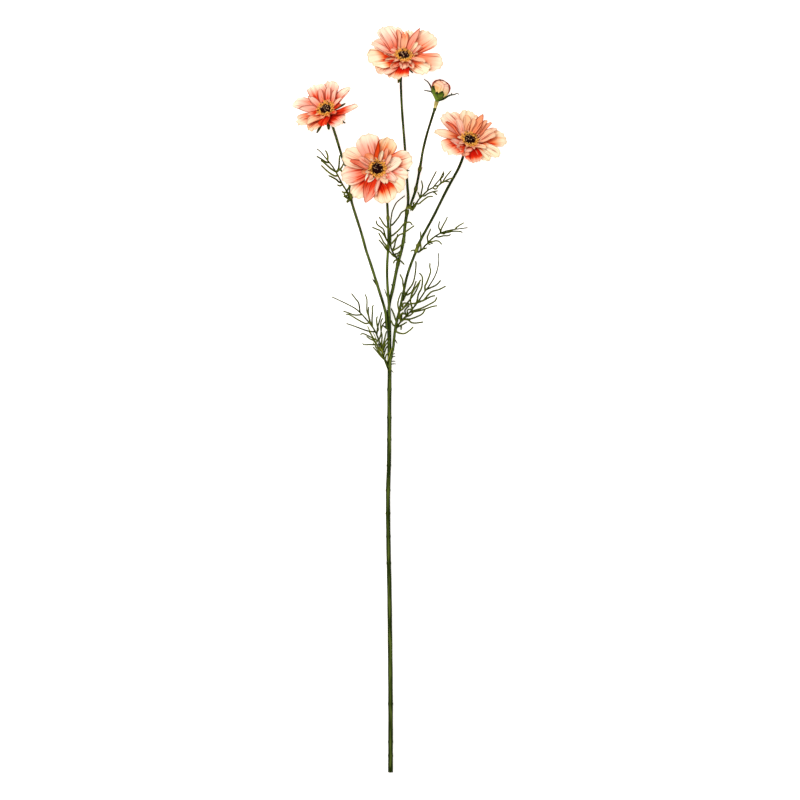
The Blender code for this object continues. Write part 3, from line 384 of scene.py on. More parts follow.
# how far and how high the stamens' tips are: in the first ring, from ring to ring, and their
# spread within a ring
STAMEN_REACH = (6.6, 1.25, 0.45)
STAMEN_RISE = (3.1, -0.4, 0.4)
BRISTLE_REACH = (0.1, 1.4)  # beyond the dome
BRISTLE_RISE = (1.6, 2.8)
BRISTLE_RADII = (0.45, 0.3)
SKIRT_PROFILE = np.array((
    (-0.8, 5.0), (1.2, 5.2), (2.0, 6.6), (1.6, 8.0), (0.9, 8.7), (0.4, 8.2), (-0.8, 6.0),
)) + (CENTRE_BASE, 0)

# ---------------------------------------------------------------- bud
BUD_BASE = np.array((36.4, 297.8, 10.2))
BUD_AXIS = np.array((0.30, 0.92, 0.25))
# height above the base and radius, of the bud and of its cup
BUD_PROFILE = np.array((
    (4.0, 3.0), (6.5, 6.2), (9.5, 8.0), (13.0, 8.5), (16.5, 7.8), (19.3, 5.6), (21.2, 1.6),
))
BUD_CUP_PROFILE = (
    (0.0, 1.9), (0.9, 2.5), (2.0, 3.3), (3.4, 4.6), (4.8, 5.9), (5.6, 6.4), (5.4, 5.9), (4.6, 5.2),
)
BUD_CORE_ENDS = (4.2, 20.8)
BUD_PETAL_FOOT = 4.6
BUD_SEPAL_FOOT = 3.0
BUD_SEPAL_THICKNESS = 0.5
COLLAR_RADII = (1.6, 2.3)
COLLAR_GAP = 0.6  # to the base of the bud
COLLAR_STEP = 0.6
# The bud's own bearings: about 164 is its left side as seen from above, 254 faces up and 344 is
# its right side.  Each petal: first and last bearing, height and offset of its edge, how pink
# it is, 1 if it is one of the back ones that are painted dark all over as painted shade, the
# tone of its foot, and how fast its gold fades.
BUD_PETALS = (
    (40, 186, 21.4, 3.1, 0.5, 1.0, 0.97, 1.7), (318, 440, 20.6, 2.1, 0.5, 1.0, 0.97, 1.7),
    (250, 392, 20.0, 0.45, 0.9, 0.0, 1.0, 1.8), (122, 273, 20.8, 0.85, 0.65, 0.0, 0.97, 1.7),
)
# Each sepal that lies on the bud: its bearing, half its width in degrees, height of its tip, and
# how light it is
BUD_SEPALS = ((237, 20, 11.0, 0.0), (200, 42, 15.0, 0.8), (266, 31, 13.2, 0.6), (322, 24, 8.5, 0.6),
              (10, 24, 11.0, 0.6), (70, 28, 12.0, 0.6), (130, 28, 12.5, 0.6))
# The thin sepals that stand off: seen from above, with their radii at the foot
BUD_CURLS = (
    (((31.6, 308.0), (30.2, 312.0), (28.7, 314.8), (27.0, 317.0), (25.0, 318.3), (23.7, 319.5)), 1.0),
    (((32.3, 305.0), (30.7, 307.0), (28.5, 307.4), (25.5, 308.0), (23.5, 308.5)), 0.95),
    (((38.0, 298.0), (42.5, 299.4), (45.5, 301.0), (48.5, 303.0), (51.5, 303.7), (54.5, 304.2),
      (56.5, 305.2), (58.7, 304.2)), 1.15),
    (((48.5, 302.6), (50.4, 303.5), (51.2, 305.6)), 0.7),
)
CURL_HEIGHT = 13.0
CURL_ARCH = 1.2
CURL_FLATNESS = 0.6

# ---------------------------------------------------------------- leaves
# name, height of the stalk at its root and at its tip, the stalk, then its shoots, each route
# as the x and y of its points in turn
LEAVES = (
    ("lower_left_leaf", 5.0, 14.0,
     (-13.6, 34, -16.5, 40.5, -18.5, 46.5, -20, 53.5, -22.5, 60.5, -25.5, 67.5, -29.5, 73.5,
      -34.5, 79.5, -39.5, 85, -44.5, 89.5, -50.5, 93, -59, 97.2, -69, 101.8),
     ((-40.5, 86, -41.8, 95.2, -45, 99.8, -49.1, 105.1),
      (-38.5, 83.5, -45.9, 83.6, -52.8, 86, -57.4, 87.4),
      (-32.2, 75, -35.5, 75.2, -42.3, 78.7, -51, 83.7, -55.1, 84.2),
      (-26, 66, -33.1, 67.7, -42.3, 70.9, -48.7, 73.2, -54.2, 75),
      (-22.5, 57.5, -27.6, 60.4, -34, 63.6, -37.7, 65, -40.5, 64),
      (-19, 47, -22.1, 51.2, -26.7, 57.6, -30.4, 59.5, -34.2, 62.2),
      (-20.3, 54, -24.9, 53.8, -30.4, 54, -36.3, 54, -38.2, 55.3),
      (-15.7, 38.4, -19.4, 42.1, -24, 47.6, -27.6, 51.7),
      (-29, 74.5, -32.2, 83.3, -33.6, 87.9, -33.6, 98.8, -35.4, 104.3),
      (-28.5, 74, -31.3, 80.5, -32.2, 86.9, -31.7, 92),
      (-27.5, 72, -28.5, 77.8, -28.1, 86, -28.1, 91.5, -26.7, 93.4),
      (-24.5, 65.5, -22.3, 68.7, -23.5, 74.2, -24, 79.6, -23, 82.4),
      (-23.5, 64, -22.6, 72.3, -21.2, 76.9, -19.8, 82.4, -18.5, 86.9),
      (-21.2, 58.5, -19.4, 65, -19.8, 71.4, -19.4, 76.9, -17.6, 80.5),
      (-19.2, 50.5, -18.5, 62.2, -19.4, 67.7, -17.6, 74.1, -13, 79.2),
      (-18, 73.6, -15.5, 71.5, -11, 67.7), (-18.6, 48.5, -16.6, 56.7, -15.3, 62.2, -13.9, 67.7),
      (-18.2, 47, -15.7, 55.5, -12.5, 61), (-17.8, 45.5, -15.5, 52.5, -12, 57.2),
      (-17, 42.5, -14.8, 49.4, -12, 54), (-15.5, 38.5, -13.9, 44, -9.5, 46.5))),
    ("lower_left_leaf", 4.6, 12.0,
     (-15.5, 37.5, -19, 43.5, -22.3, 50.5, -25.5, 57.5, -29.5, 65, -33, 72.5),
     ((-17, 40, -21.2, 45.7, -25.8, 52.5), (-17.5, 41, -23, 50, -28, 56.5),
      (-19.8, 45.5, -24.5, 54.5, -29, 61), (-22, 50, -27, 59.5, -32, 67.5),
      (-24, 55, -28.5, 62, -31, 69), (-18, 41.5, -17.8, 46.5, -20.8, 51.5),
      (-20.5, 47, -21.5, 53.5, -24, 59), (-23.5, 54, -24.6, 60, -27.5, 66),
      (-14, 34.5, -11, 43.5, -8.8, 50.5), (-12, 33, -8, 41, -9, 44.5))),
    ("lower_right_leaf", 6.2, 13.0,
     (-4.5, 69.5, -2.5, 73.5, 3.5, 80.5, 9.5, 86.5, 12.5, 90.5, 18, 97.5, 25, 108, 28.5, 112.5,
      34, 121.5, 37, 129.5, 38.3, 138.5, 37.7, 146),
     ((2.5, 98, 6.5, 106.5, 12, 114.5, 14.3, 122.5, 15.5, 132.5, 15.3, 137.5),
      (4.5, 103.5, 8.5, 104.7, 12, 108, 15.9, 118),
      (11.5, 90, 10, 97.5, 11, 103.5, 13.5, 108.5, 18, 115.5, 20.5, 119),
      (-0.5, 88, 2.5, 90, 7.5, 96.5, 11.5, 101.5, 15.5, 107.5, 19.5, 117),
      (14, 93, 16.5, 97.5, 18, 104.5, 21, 110.5, 22, 117.5, 21.5, 122.5, 18.5, 126),
      (24, 107.5, 24.5, 112.5, 26.5, 116.5, 30, 126.5, 29.3, 131.5, 29.5, 135.7),
      (25.5, 109, 35.5, 113.5, 40.5, 118.5),
      (17, 97.5, 22.5, 98, 27.5, 103.5, 31.5, 107, 38.5, 109, 45.5, 112.5),
      (15.5, 95, 9.5, 94.5, 4, 91.5, 0, 88), (17, 96, 23.5, 98.5, 30.5, 102, 35, 103),
      (10.5, 87, 15.5, 88.5, 21.5, 90.5, 29.5, 94.5, 34.5, 97.5, 36.5, 101.5),
      (10, 86.5, 19.5, 88, 24.5, 89.5, 31.5, 92, 37, 93),
      (1, 77.5, 4.5, 79.5, 9.5, 79.5, 15.5, 81.5, 21.5, 84.5, 25, 89.5),
      (0, 76, 3.5, 79, 8, 78.5, 11, 76, 15.5, 75.5, 23, 76.5),
      (-5, 69.5, -3.5, 66.5, 3.5, 65, 9.5, 68.5, 13, 72), (-3.5, 71, 1, 73.5, 6.5, 76.5),
      (1, 73.5, 0.7, 71.5, 0.5, 68.5), (2.5, 90, 2, 93.5, 3.5, 95.5, 9, 95),
      (0.5, 78.5, 1.5, 84.5, 6.5, 84.5, 7, 88.5, 11, 89.5),
      (2.3, 104, 2.6, 113.5, 2, 119, -0.5, 124.5),
      (0.2, 77.5, -2, 89.5, -2.7, 94.5, -1.5, 100.5, 1, 106.5),
      (-3, 73, -5, 79, -7, 85, -9.5, 90.5), (-4, 71.5, -7.5, 74, -9.5, 78.5),
      (1, 78, -1.5, 82, 3, 86.5), (6, 83, 4.5, 88.5, 9, 93), (4.5, 81.5, 10, 83.5, 14, 87.5))),
    ("right_leaf", 5.0, 10.0,
     (17.5, 146.5, 19.5, 147.7, 22.5, 150, 24.5, 153, 27, 155.2, 29.5, 158.2, 34.5, 162.2,
      39.5, 165.2, 44.5, 167.2, 50.5, 168.7, 57.5, 169.7, 67.5, 171),
     ((40.2, 165.5, 39.8, 168, 38.5, 170.5, 38.2, 172.5, 38.8, 176, 39.7, 177.5),
      (40.4, 166, 40.8, 169.5, 43, 174, 45.5, 178.5, 47.1, 182.2),
      (54.5, 169.2, 56, 171.2, 59.5, 173.7, 62, 175, 63.5, 176.2),
      (41.5, 166, 45.5, 166, 49, 166.5, 52.5, 167.3, 59.5, 167, 62, 165.8),
      (40, 165.3, 43, 164.9, 45, 165.2), (46.5, 167.8, 49.5, 167.2, 52.5, 168.4),
      (35, 162.4, 37.5, 161.8, 40.5, 162.3, 43.5, 163, 47.5, 163.1, 50.5, 164.3),
      (27.5, 156, 27.2, 158.5, 27, 162, 28.3, 165, 29.5, 168, 30.5, 170),
      (28.5, 157, 31.5, 157, 34.5, 157.8, 36.5, 157.8, 39, 156.8, 41.5, 153.9),
      (28, 156.3, 30, 156, 32.5, 155), (27.3, 155.5, 28.5, 154.5, 30.2, 154),
      (19.5, 147.8, 20.5, 150.5, 20, 155, 20.3, 160, 20, 167.5),
      (22.2, 149.8, 25, 150.2, 26.5, 151.2), (17, 147, 13, 148.6, 9.8, 147.2))),
    ("centre_leaf", 7.2, 15.0,
     (-2.5, 138.5, -5, 142, -7, 145, -8.5, 148.5, -9.8, 152.5, -9.8, 162, -10, 170.5, -9.8, 177.5,
      -9, 182.5, -8.2, 187, -5.5, 193.5, -3.5, 196.5, 0, 199.5, 4.6, 203),
     ((-9.8, 173, -8, 174, -4.5, 178, -1.5, 182, 1, 186, 5.5, 188.5),
      (-9.8, 162.5, -7, 164, -3.5, 167, -0.5, 170, 3.5, 175, 5.5, 176, 9.5, 176.5, 12, 173.5),
      (-9.8, 154.5, -8, 156, -5.5, 159, -3, 162, -0.5, 164, 2, 165, 7.5, 168.5, 14, 173),
      (-3.5, 161.5, -3, 162.5, -3, 164.9),
      (-8, 147.5, -6, 152.5, -5.5, 155.5, -4.5, 158.5, -3.3, 161.8),
      (-8, 148, -4.5, 149.8, -2, 151.2, 0, 153, 1.5, 154.5), (-5.5, 143, -5, 145, -3, 145, 0, 148),
      (-4, 141, -2.5, 143.5, 0.5, 144), (-2.5, 138.5, -5.5, 138.3, -7.3, 135),
      (-2.5, 138.5, 0.5, 137.5, 4, 134), (-5, 141, -7.5, 143.2, -10, 146, -12, 148.5),
      (-11.8, 168.5, -15, 172.5, -17.5, 175.5, -19.5, 179, -21.5, 182),
      (-10.5, 153, -14, 159, -15.5, 163.5, -17, 169, -19, 171, -21.5, 172.5, -23.5, 174.5,
       -24.2, 176.5, -24, 178.2),
      (-15, 161, -16.5, 163.5, -18.5, 166, -20.5, 168, -23.5, 169.2, -28.5, 171.3),
      (-12, 149, -14.5, 153.5, -17, 156.5, -19, 160.5, -22, 166),
      (-12, 148.5, -15, 151, -17.5, 154, -20, 157, -22, 159),
      (-11.5, 148.2, -13.8, 149, -16.5, 152.2))),
    ("upper_right_leaf", 7.0, 12.0,
     (9.5, 189.5, 11.5, 191.5, 15.5, 195.2, 17.5, 198, 19.5, 200.5, 22.5, 203.7, 27, 208,
      29.5, 209.5, 32.5, 211.2, 34, 213, 36.5, 216, 39.5, 219.5, 41.5, 223.5, 43.5, 227.5),
     ((27.2, 208.3, 27.5, 210.5, 28.5, 213, 30.5, 217, 32.5, 221, 36, 227.5),
      (34, 212.5, 37.5, 213, 40, 215, 42, 216.5, 45.5, 222, 51, 228.5),
      (42, 216.2, 45.8, 218.2, 49.5, 220, 52.5, 220.5), (44, 217.3, 47, 217.2, 49.5, 216.5),
      (40, 215, 40.6, 217, 40.2, 219.5, 42.6, 222.5, 43.6, 226),
      (32.5, 211, 34, 209.7, 36, 210, 38, 213),
      (21.5, 202.8, 24.5, 203, 27.5, 205.2, 32.5, 207, 37.5, 208),
      (33, 207.2, 34.5, 206, 36.5, 203.7),
      (15.5, 195, 18.5, 195, 21, 197, 26.5, 201.2, 29, 202, 32.5, 202),
      (20.3, 201.3, 20.8, 205.5, 21.5, 209, 22.1, 212.5, 21, 218.5),
      (19.8, 200.8, 18.5, 204.3, 17, 207), (13, 193, 13, 195.5, 14.2, 196.6),
      (16.5, 196, 14.5, 192, 11.5, 187.5), (15.5, 195, 13, 191, 9.8, 188))),
    ("upper_left_leaf", 4.2, 9.0,
     (-50.5, 198, -52.5, 204, -54.5, 208.5, -57.8, 214, -60, 218, -62.5, 223, -64.4, 226.3,
      -67.3, 231.2, -70.8, 235.8, -75.5, 241.5, -80, 247, -84, 250.2),
     ((-71, 236, -74.5, 236.7, -79, 239.5, -84, 242.5),
      (-65, 227.3, -69.5, 230, -73.5, 233.5, -77.5, 237, -80, 238.5),
      (-62.5, 223, -66, 223, -70.5, 225.5, -74.5, 228.7, -79.5, 233.5),
      (-59, 215.7, -62, 217, -64, 219, -67.5, 221, -72.2, 223.2),
      (-57.8, 214, -61, 213, -63.5, 214.2), (-73.4, 239, -72.8, 242.5, -73.8, 246, -75.3, 248.5),
      (-64.2, 226.2, -62.2, 230, -61.5, 234.5, -61.2, 240.5, -60.7, 244),
      (-64, 226.4, -60.5, 229.5, -58.5, 232, -57, 235, -55.5, 235.5),
      (-60.5, 229.5, -58.7, 227.3, -57.5, 225), (-53.5, 206.5, -57, 206.5, -59, 207.5),
      (-52.5, 204, -54.5, 203, -57.2, 202), (-51.5, 199, -53.5, 201, -56, 203.5, -56.5, 206),
      (-53.8, 207.5, -52, 211, -51, 213), (-51, 198.5, -53.5, 196.5, -53, 199),
      (-50.5, 199, -51.3, 204, -54.2, 208), (-51, 201.5, -54, 201, -56.5, 203),
      (-52, 203, -50.5, 204.5, -51.5, 207.5),
      (-50.5, 201.5, -46.5, 203.2, -44.5, 202.7, -43, 202))),
)
THREAD_SCALES = {"lower_right_leaf": 1.12, "upper_left_leaf": 1.2, "centre_leaf": 1.08}
SECOND_SCALE = 0.6  # of the threads of a leaf's second row, which are finer and paler
SECOND_PALENESS = 0.6
SHOOT_PALENESS = 0.12
SHOOT_SLOPES = (0.30, -0.12, 0.16, 0.38, -0.05)  # rise per length, shoot after shoot
LOWEST_THREAD = 0.9
GROWING_REACH = 3.0  # a thread that starts further from the rest starts on the branch
THREAD_STEP = 1.0  # from ring to ring of a stalk or thread
THREAD_SIDES = 8
STALK_SIDES = 10
STALK_TIP = 0.6  # radius
TIP_ROUNDNESS = 0.5


# ================================================================ shapes
def smooth_route(points, spacing):
    """Even steps along a smooth curve through the points: on each span the cubic whose slope
    at a point is half the way from the point before it to the point after it."""
    points = np.asarray(points, float)
    padded = np.vstack([2 * points[0] - points[1], points, 2 * points[-1] - points[-2]])
    before, start, end, after = (padded[k:len(padded) - 3 + k, None] for k in range(4))
    t = np.linspace(0, 1, CURVE_STEPS, endpoint=False)[None, :, None]
    curve = 0.5 * (2 * start + (end - before) * t
                   + (2 * before - 5 * start + 4 * end - after) * t ** 2
                   + (3 * start - before - 3 * end + after) * t ** 3)
    curve = np.vstack([curve.reshape(-1, 3), points[-1:]])
    travelled = distances(curve)
    even = np.linspace(0, travelled[-1], max(2, round(travelled[-1] / spacing)) + 1)
    return np.stack([np.interp(even, travelled, curve[:, k]) for k in range(3)], axis=1)


def distances(points):
    """How far along a polyline each of its points lies: the sum of the steps before it."""
    return np.concatenate([[0.0], np.cumsum(np.linalg.norm(np.diff(points, axis=0), axis=1))])


def unit(vectors):
    """Each vector divided by its length."""
    return vectors / np.linalg.norm(vectors, axis=-1, keepdims=True)


def ease(share):
    """Smoothly 0 to 1 as the share goes from 0 to 1: three squares less two cubes."""
    share = np.clip(share, 0, 1)
    return share * share * (3 - 2 * share)


def bell(values, middle, width):
    """1 at the middle, falling off to both sides as the exponential of minus the square."""
    return np.exp(-((values - middle) / width) ** 2)


def circle(sides):
    """Even bearings round a circle, in radians."""
    return np.linspace(0, 2 * np.pi, sides, endpoint=False)


def polar(radius, bearing, height):
    """Points at a radius and a bearing round +Z, in radians, and at a height."""
    x, y = radius * np.cos(bearing), radius * np.sin(bearing)
    return np.stack(np.broadcast_arrays(x, y, height), -1)


def grid(rows, columns):
    """The two parameters of a sheet: 0 to 1 down its rows and -1 to 1 across its columns."""
    return np.linspace(0, 1, rows)[:, None], np.linspace(-1, 1, columns)[None, :]


def skin(rings, values, ends="fan"):
    """A closed skin over rings of points, as corners, four-sided faces, three-sided faces and values.

    Faces join each ring to the next.  An end ring is filled by a fan to its middle or, where
    the ring is a flat loop, by a strip between its first and its second half.  If the volume
    inside comes out negative, every face is turned round.
    """
    rows, columns = rings.shape[:2]
    index = np.arange(rows * columns).reshape(rows, columns)
    following = np.roll(index, -1, axis=1)
    quads = [np.stack([index[:-1], following[:-1], following[1:], index[1:]], -1).reshape(-1, 4)]
    triangles = np.zeros((0, 3), int)
    points = rings.reshape(-1, 3)
    spread = {name: np.broadcast_to(value, (rows, columns)).ravel() for name, value in values.items()}
    if ends == "strip":
        k = np.arange(columns // 2 - 1)
        for ring, turn in ((index[0], -1), (index[-1], 1)):
            strip = np.stack([ring[k], ring[k + 1], ring[columns - 2 - k], ring[columns - 1 - k]], -1)
            quads.append(strip[:, ::turn])
    else:
        first = np.full(columns, rows * columns)
        triangles = np.vstack([np.stack([following[0], index[0], first], -1),
                               np.stack([index[-1], following[-1], first + 1], -1)])
        points = np.vstack([points, rings[0].mean(axis=0), rings[-1].mean(axis=0)])
        for name, value in spread.items():
            ring_means = value.reshape(rows, columns)[[0, -1]].mean(axis=1)
            spread[name] = np.concatenate([value, ring_means])
    quads = np.vstack(quads)
    halves = np.vstack([quads[:, :3], quads[:, [0, 2, 3]], triangles])
    a, b, c = (points[halves[:, k]] for k in range(3))
    if np.einsum("ij,ij->i", a, np.cross(b, c)).sum() < 0:
        quads = quads[:, ::-1]
        triangles = triangles[:, ::-1]
    return points, quads, triangles, spread


def turned(profile, sides, lobes=0, depth=0.0):
    """Rings of a solid turned round +Z: each pair of the profile is a height and a radius, and
    the radius falls by the depth's share at the middle of each lobe."""
    heights, radii = np.asarray(profile, float).T[..., None]
    angles = circle(sides)
    return polar(radii * (1 - depth * np.cos(lobes * angles)), angles, heights)


def tube(route, radii, sides, values, flat=1.0, reference=UP, relief=0.0, shade=0.0):
    """A closed tube along a route: its section is a circle of the radius, square to the route,
    flattened along its rise, with the relief added to the radius.  Its side shade value goes from 0
    on its crown to 1 at its sides, as painted shade of the rounded sides, and the shade is added to it."""
    ways = unit(np.gradient(route, axis=0))
    side = unit(np.cross(ways, reference))
    rise = np.cross(side, ways)
    angles = circle(sides)
    radius = np.broadcast_to(radii, (len(route),))[:, None] + relief
    across = (radius * np.sin(angles))[..., None] * side[:, None]
    upwards = (radius * np.cos(angles) * flat)[..., None] * rise[:, None]
    height = np.sin(angles) * side[:, 2:] + np.cos(angles) * rise[:, 2:]
    # painted shade: surfaces that face sideways get a higher value than the crown, plus the given shade
    flank = np.sqrt(np.clip(1 - height ** 2, 0, 1)) + shade
    return skin(route[:, None] + across + upwards, {**values, "flank": flank})


def taper(count, start, end, roundness=0.0):
    """Radii that go evenly from start to end, the last one drawn in by the roundness."""
    radii = np.linspace(start, end, count)
    radii[-1] *= 1 - roundness
    return radii


def copies(shape, places, sizes, values):
    """One skin per place: the shape scaled by its size and moved there, with its own values."""
    return [(shape[0] * size + place, shape[1], shape[2],
             {name: np.full(len(shape[0]), value[k]) for name, value in values.items()})
            for k, (place, size) in enumerate(zip(places, sizes))]


def ball(rows, sides):
    """A unit ball of a few faces: rings at even latitudes with a fan at each pole."""
    latitudes = np.linspace(-LAST_LATITUDE, LAST_LATITUDE, rows)
    return skin(turned(np.stack([np.sin(latitudes), np.cos(latitudes)], 1), sides), {})


def moved(skins, turn, place):
    """The skins turned by a rotation matrix and moved to a place."""
    return [(points @ turn.T + place, quads, triangles, values)
            for points, quads, triangles, values in skins]


def add_object(name, data):
    """A new object of the scene that holds a mesh, a lamp or a camera."""
    thing = bpy.data.objects.new(name, data)
    bpy.context.scene.collection.objects.link(thing)
    return thing


def build_piece(name, skins, material, nodes):
    """Joins skins into one smooth mesh that rides on the root body in place of the CAD nodes."""
    offsets = np.cumsum([0] + [len(points) for points, *_ in skins])[:-1]
    points = np.vstack([points for points, *_ in skins]) * MM
    quads = np.vstack([quads + start for (_, quads, *_), start in zip(skins, offsets)])
    triangles = np.vstack([triangles + start for (_, _, triangles, _), start in zip(skins, offsets)])
    corners = np.concatenate([quads.ravel(), triangles.ravel()]).astype(np.int32)
    sizes = np.concatenate([np.full(len(quads), 4), np.full(len(triangles), 3)])
    starts = np.concatenate([[0], np.cumsum(sizes)[:-1]]).astype(np.int32)
    mesh = bpy.data.meshes.new(name)
    mesh.vertices.add(len(points))
    mesh.loops.add(len(corners))
    mesh.polygons.add(len(sizes))
    mesh.vertices.foreach_set("co", points.astype(np.float32).ravel())
    mesh.loops.foreach_set("vertex_index", corners)
    mesh.polygons.foreach_set("loop_start", starts)
    mesh.update(calc_edges=True)
    for key in sorted(set.intersection(*(set(values) for *_, values in skins))):
        values = np.concatenate([skin_values[key] for *_, skin_values in skins]).astype(np.float32)
        mesh.attributes.new(key, "FLOAT", "POINT").data.foreach_set("value", values)
    mesh.shade_smooth()
    mesh.set_sharp_from_angle(angle=SHARP_ANGLE)
    mesh.materials.append(material)
    piece = add_object(name, mesh)
    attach(piece, "root")
    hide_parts(*nodes)


# ================================================================ blossoms
def turn_matrix(axis, angle):
    """The rotation by an angle round a unit axis, by Rodrigues' formula."""
    x, y, z = axis
    cross = np.array(((0, -z, y), (z, 0, -x), (-y, x, 0)))
    return np.eye(3) + math.sin(angle) * cross + (1 - math.cos(angle)) * cross @ cross


def blossom_frame(name):
    """A blossom's rotation matrix and the place of its hub, under the centre seen from above."""
    face, height, tilt, bearing = BLOSSOMS[name]
    bearing = math.radians(bearing)
    turn = turn_matrix((-math.sin(bearing), math.cos(bearing), 0), math.radians(tilt))
    leaning = (turn @ UP) * (1, 1, 0)
    return turn, np.array((*face, height)) - leaning * FACE_HEIGHT


def root_bearings(petals):
    """The petals' root bearings, in nearly even steps but no further than ROOT_TURN from the
    bearings of their tips, and those."""
    tips = [petals[0][1]]
    for petal in petals[1:]:
        tips.append(petal[1] if petal[1] > tips[-1] else petal[1] + 360)
    tips = np.array(tips)
    steps = np.arange(len(petals)) * 360 / len(petals)
    even = steps + np.mean(tips - steps)
    return tips + np.clip(even - tips, -ROOT_TURN, ROOT_TURN), tips


def petal_sheet(petal, root, tip, height, looks, seed):
    """The middle surface of a petal in its blossom's frame, its two parameters and its margin.

    The first parameter runs from root to tip, the second from edge to edge; the margin is how
    far a point is from the side of the petal, in millimetres.  The outline widens as a sine to
    its widest place and narrows as a square; the tip edge is rounded and toothed; the section
    is an arc that curls the edges up and rolls to one side towards the tip; pleats and a frill
    at the tip are waves across the petal, and a slow wave runs along it.
    """
    kind, _, reach, width, rise, curl, *_ = petal
    (root_share, peak, end_share, roundness, teeth, tooth_depth, frill, pleats, pleat_height,
     bend) = KINDS[kind]
    random = np.random.default_rng(seed)
    phases = random.uniform(0, 2 * np.pi, 4)
    roll = math.radians(random.uniform(*ROLLS)) * (1 if kind == "broad" else -1)
    s, t = grid(looks.petal_rows, looks.petal_columns)
    grown = root_share + (1 - root_share) * np.sin(np.pi / 2 * np.clip(s / peak, 0, 1))
    narrowed = 1 - (1 - end_share) * np.clip((s - peak) / (1 - peak), 0, 1) ** 2
    half_width = width / 2 * grown * narrowed
    toothed = 1 - np.abs(np.sin(np.pi * teeth * t / 2 + phases[0]))
    cut = roundness * np.abs(t) ** 2.5 + tooth_depth * toothed
    outwards = looks.petal_start + (reach - looks.petal_start) * (s - cut * s ** 4)
    curl = max(math.radians(curl), 0.02)
    across = half_width * np.sin(curl * t) / curl
    section = half_width * (1 - np.cos(curl * t)) / curl
    section = section + pleat_height * np.cos(np.pi * pleats * t + phases[1]) * np.sin(np.pi / 2 * s)
    section = section + frill * s ** 5 * np.sin(np.pi * (teeth + 1.3) * t + phases[2])
    rolled = roll * s
    across, section = (across * np.cos(rolled) - section * np.sin(rolled),
                       across * np.sin(rolled) + section * np.cos(rolled))
    lift = s ** 1.7 if kind == "ruffled" else 1.7 * s - 0.7 * s ** 2
    middle = height + rise * lift + WAVE_HEIGHT * np.sin(2 * np.pi * s + phases[3]) * s
    midrib = outwards[:, looks.petal_columns // 2]
    slope = np.arctan2(np.gradient(middle[:, 0]), np.gradient(midrib))[:, None]
    radial = outwards - np.sin(slope) * section
    lifted = middle + np.cos(slope) * section
    bearing = np.radians(root + (tip - root) * ease((outwards - HUB_RADIUS) / looks.turn_length)
                         - bend * (1 - s ** 1.5))
    x = radial * np.cos(bearing) - across * np.sin(bearing)
    y = radial * np.sin(bearing) + across * np.cos(bearing)
    return np.stack([x, y, lifted], -1), s, t, half_width * (1 - np.abs(t))


def sheet_skin(surface, thickness, values):
    """A closed skin of a thin sheet: its surface moved by half the thickness to each side along
    the normal, which is the cross product of the surface's two directions.  Heights under
    the floor's room are first lifted softly above it, by the logarithm of one plus the
    exponential of the height."""
    surface = surface.copy()
    lowest = FLOOR_ROOM + thickness / 2
    surface[..., 2] = lowest + np.logaddexp(0, 3 * (surface[..., 2] - lowest)) / 3
    normals = unit(np.cross(np.gradient(surface, axis=0), np.gradient(surface, axis=1)))
    above = surface + normals * thickness / 2
    below = surface - normals * thickness / 2
    rings = np.concatenate([above, below[:, ::-1]], axis=1)
    doubled = {}
    for name, value in values.items():
        value = np.broadcast_to(value, surface.shape[:2])
        doubled[name] = np.concatenate([value, value[:, ::-1]], axis=1)
    return skin(rings, doubled, ends="strip")


def petal_layer(blossom, petals, layer, looks):
    """Skins of one layer of petals of a blossom, in place."""
    turn, hub = blossom_frame(blossom)
    roots, tips = root_bearings(petals)
    height = FIRST_LAYER + layer * LAYER_PITCH
    skins = []
    for k, petal in enumerate(petals):
        seed = (list(BLOSSOMS).index(blossom), layer, k)
        sheet, s, t, margin = petal_sheet(petal, roots[k], tips[k], height, looks, seed)
        # the last value sets how strong the painted shade along the petal's sides is
        root_tone, tip_tone, start, end, pink, rim = petal[6:]
        share = ease((s - start) / (end - start))
        # deeper tone at the root: partly the petal's own red, partly painted shade towards the hub
        deeper = looks.root_shade_and_tone_depth * np.clip(1 - s / ROOT_LENGTH, 0, 1)
        values = {"along": s, "across": t, "margin": margin, "pink": pink, "rim": rim,
                  "tone": root_tone + (tip_tone - root_tone) * share - deeper,
                  "streaking": 0.12 + 1.2 * share * (1 - share),
                  "streak": np.dot(STREAK_STEPS, seed), "line": EDGE_LINES[layer]}
        skins.append(sheet_skin(sheet @ turn.T + hub, looks.thickness, values))
    return skins


def inner_petals(blossom):
    """The rows of the innermost layer: short narrow petals in even steps, whose tones and
    pinks go through the same five values in turn."""
    bearing = BLOSSOMS[blossom][3]
    tone = INNER_TONES[blossom]
    step = 360 / len(INNER_REACHES)
    return [(("shred", "pointed")[k % 2], bearing + step * k, reach, INNER_WIDTH, INNER_RISE,
             INNER_CURL, tone - 0.1, tone + 0.05 * (3 * k % 5), 0.30, 0.90, 0.2 * (2 * k % 5), 0.4)
            for k, reach in enumerate(INNER_REACHES)]


# ================================================================ materials
def new_material(name, roughness, **constants):
    """A Principled material with constant sockets, and its node tree and shader."""
    material = bpy.data.materials.new(name)
    material.use_nodes = True
    tree = material.node_tree
    shader = tree.nodes["Principled BSDF"]
    shader.inputs["Roughness"].default_value = roughness
    for socket, value in constants.items():
        shader.inputs[socket.replace("_", " ").title().replace("Ior", "IOR")].default_value = value
    return material, tree, shader


def put(tree, kind, sockets, **settings):
    """Adds a node with its settings, and a link or a value for each named or numbered socket."""
    node = tree.nodes.new("ShaderNode" + kind)
    for key, value in settings.items():
        setattr(node, key, value)
    for key, value in sockets.items():
        if isinstance(value, bpy.types.NodeSocket):
            tree.links.new(value, node.inputs[key])
        else:
            node.inputs[key].default_value = value
    return node


def attribute(tree, name):
    """The value of one of the piece's attributes."""
    return put(tree, "Attribute", {}, attribute_name=name).outputs["Fac"]


def place_of(tree):
    """The place of a point on its piece, in metres."""
    return put(tree, "TexCoord", {}).outputs["Object"]


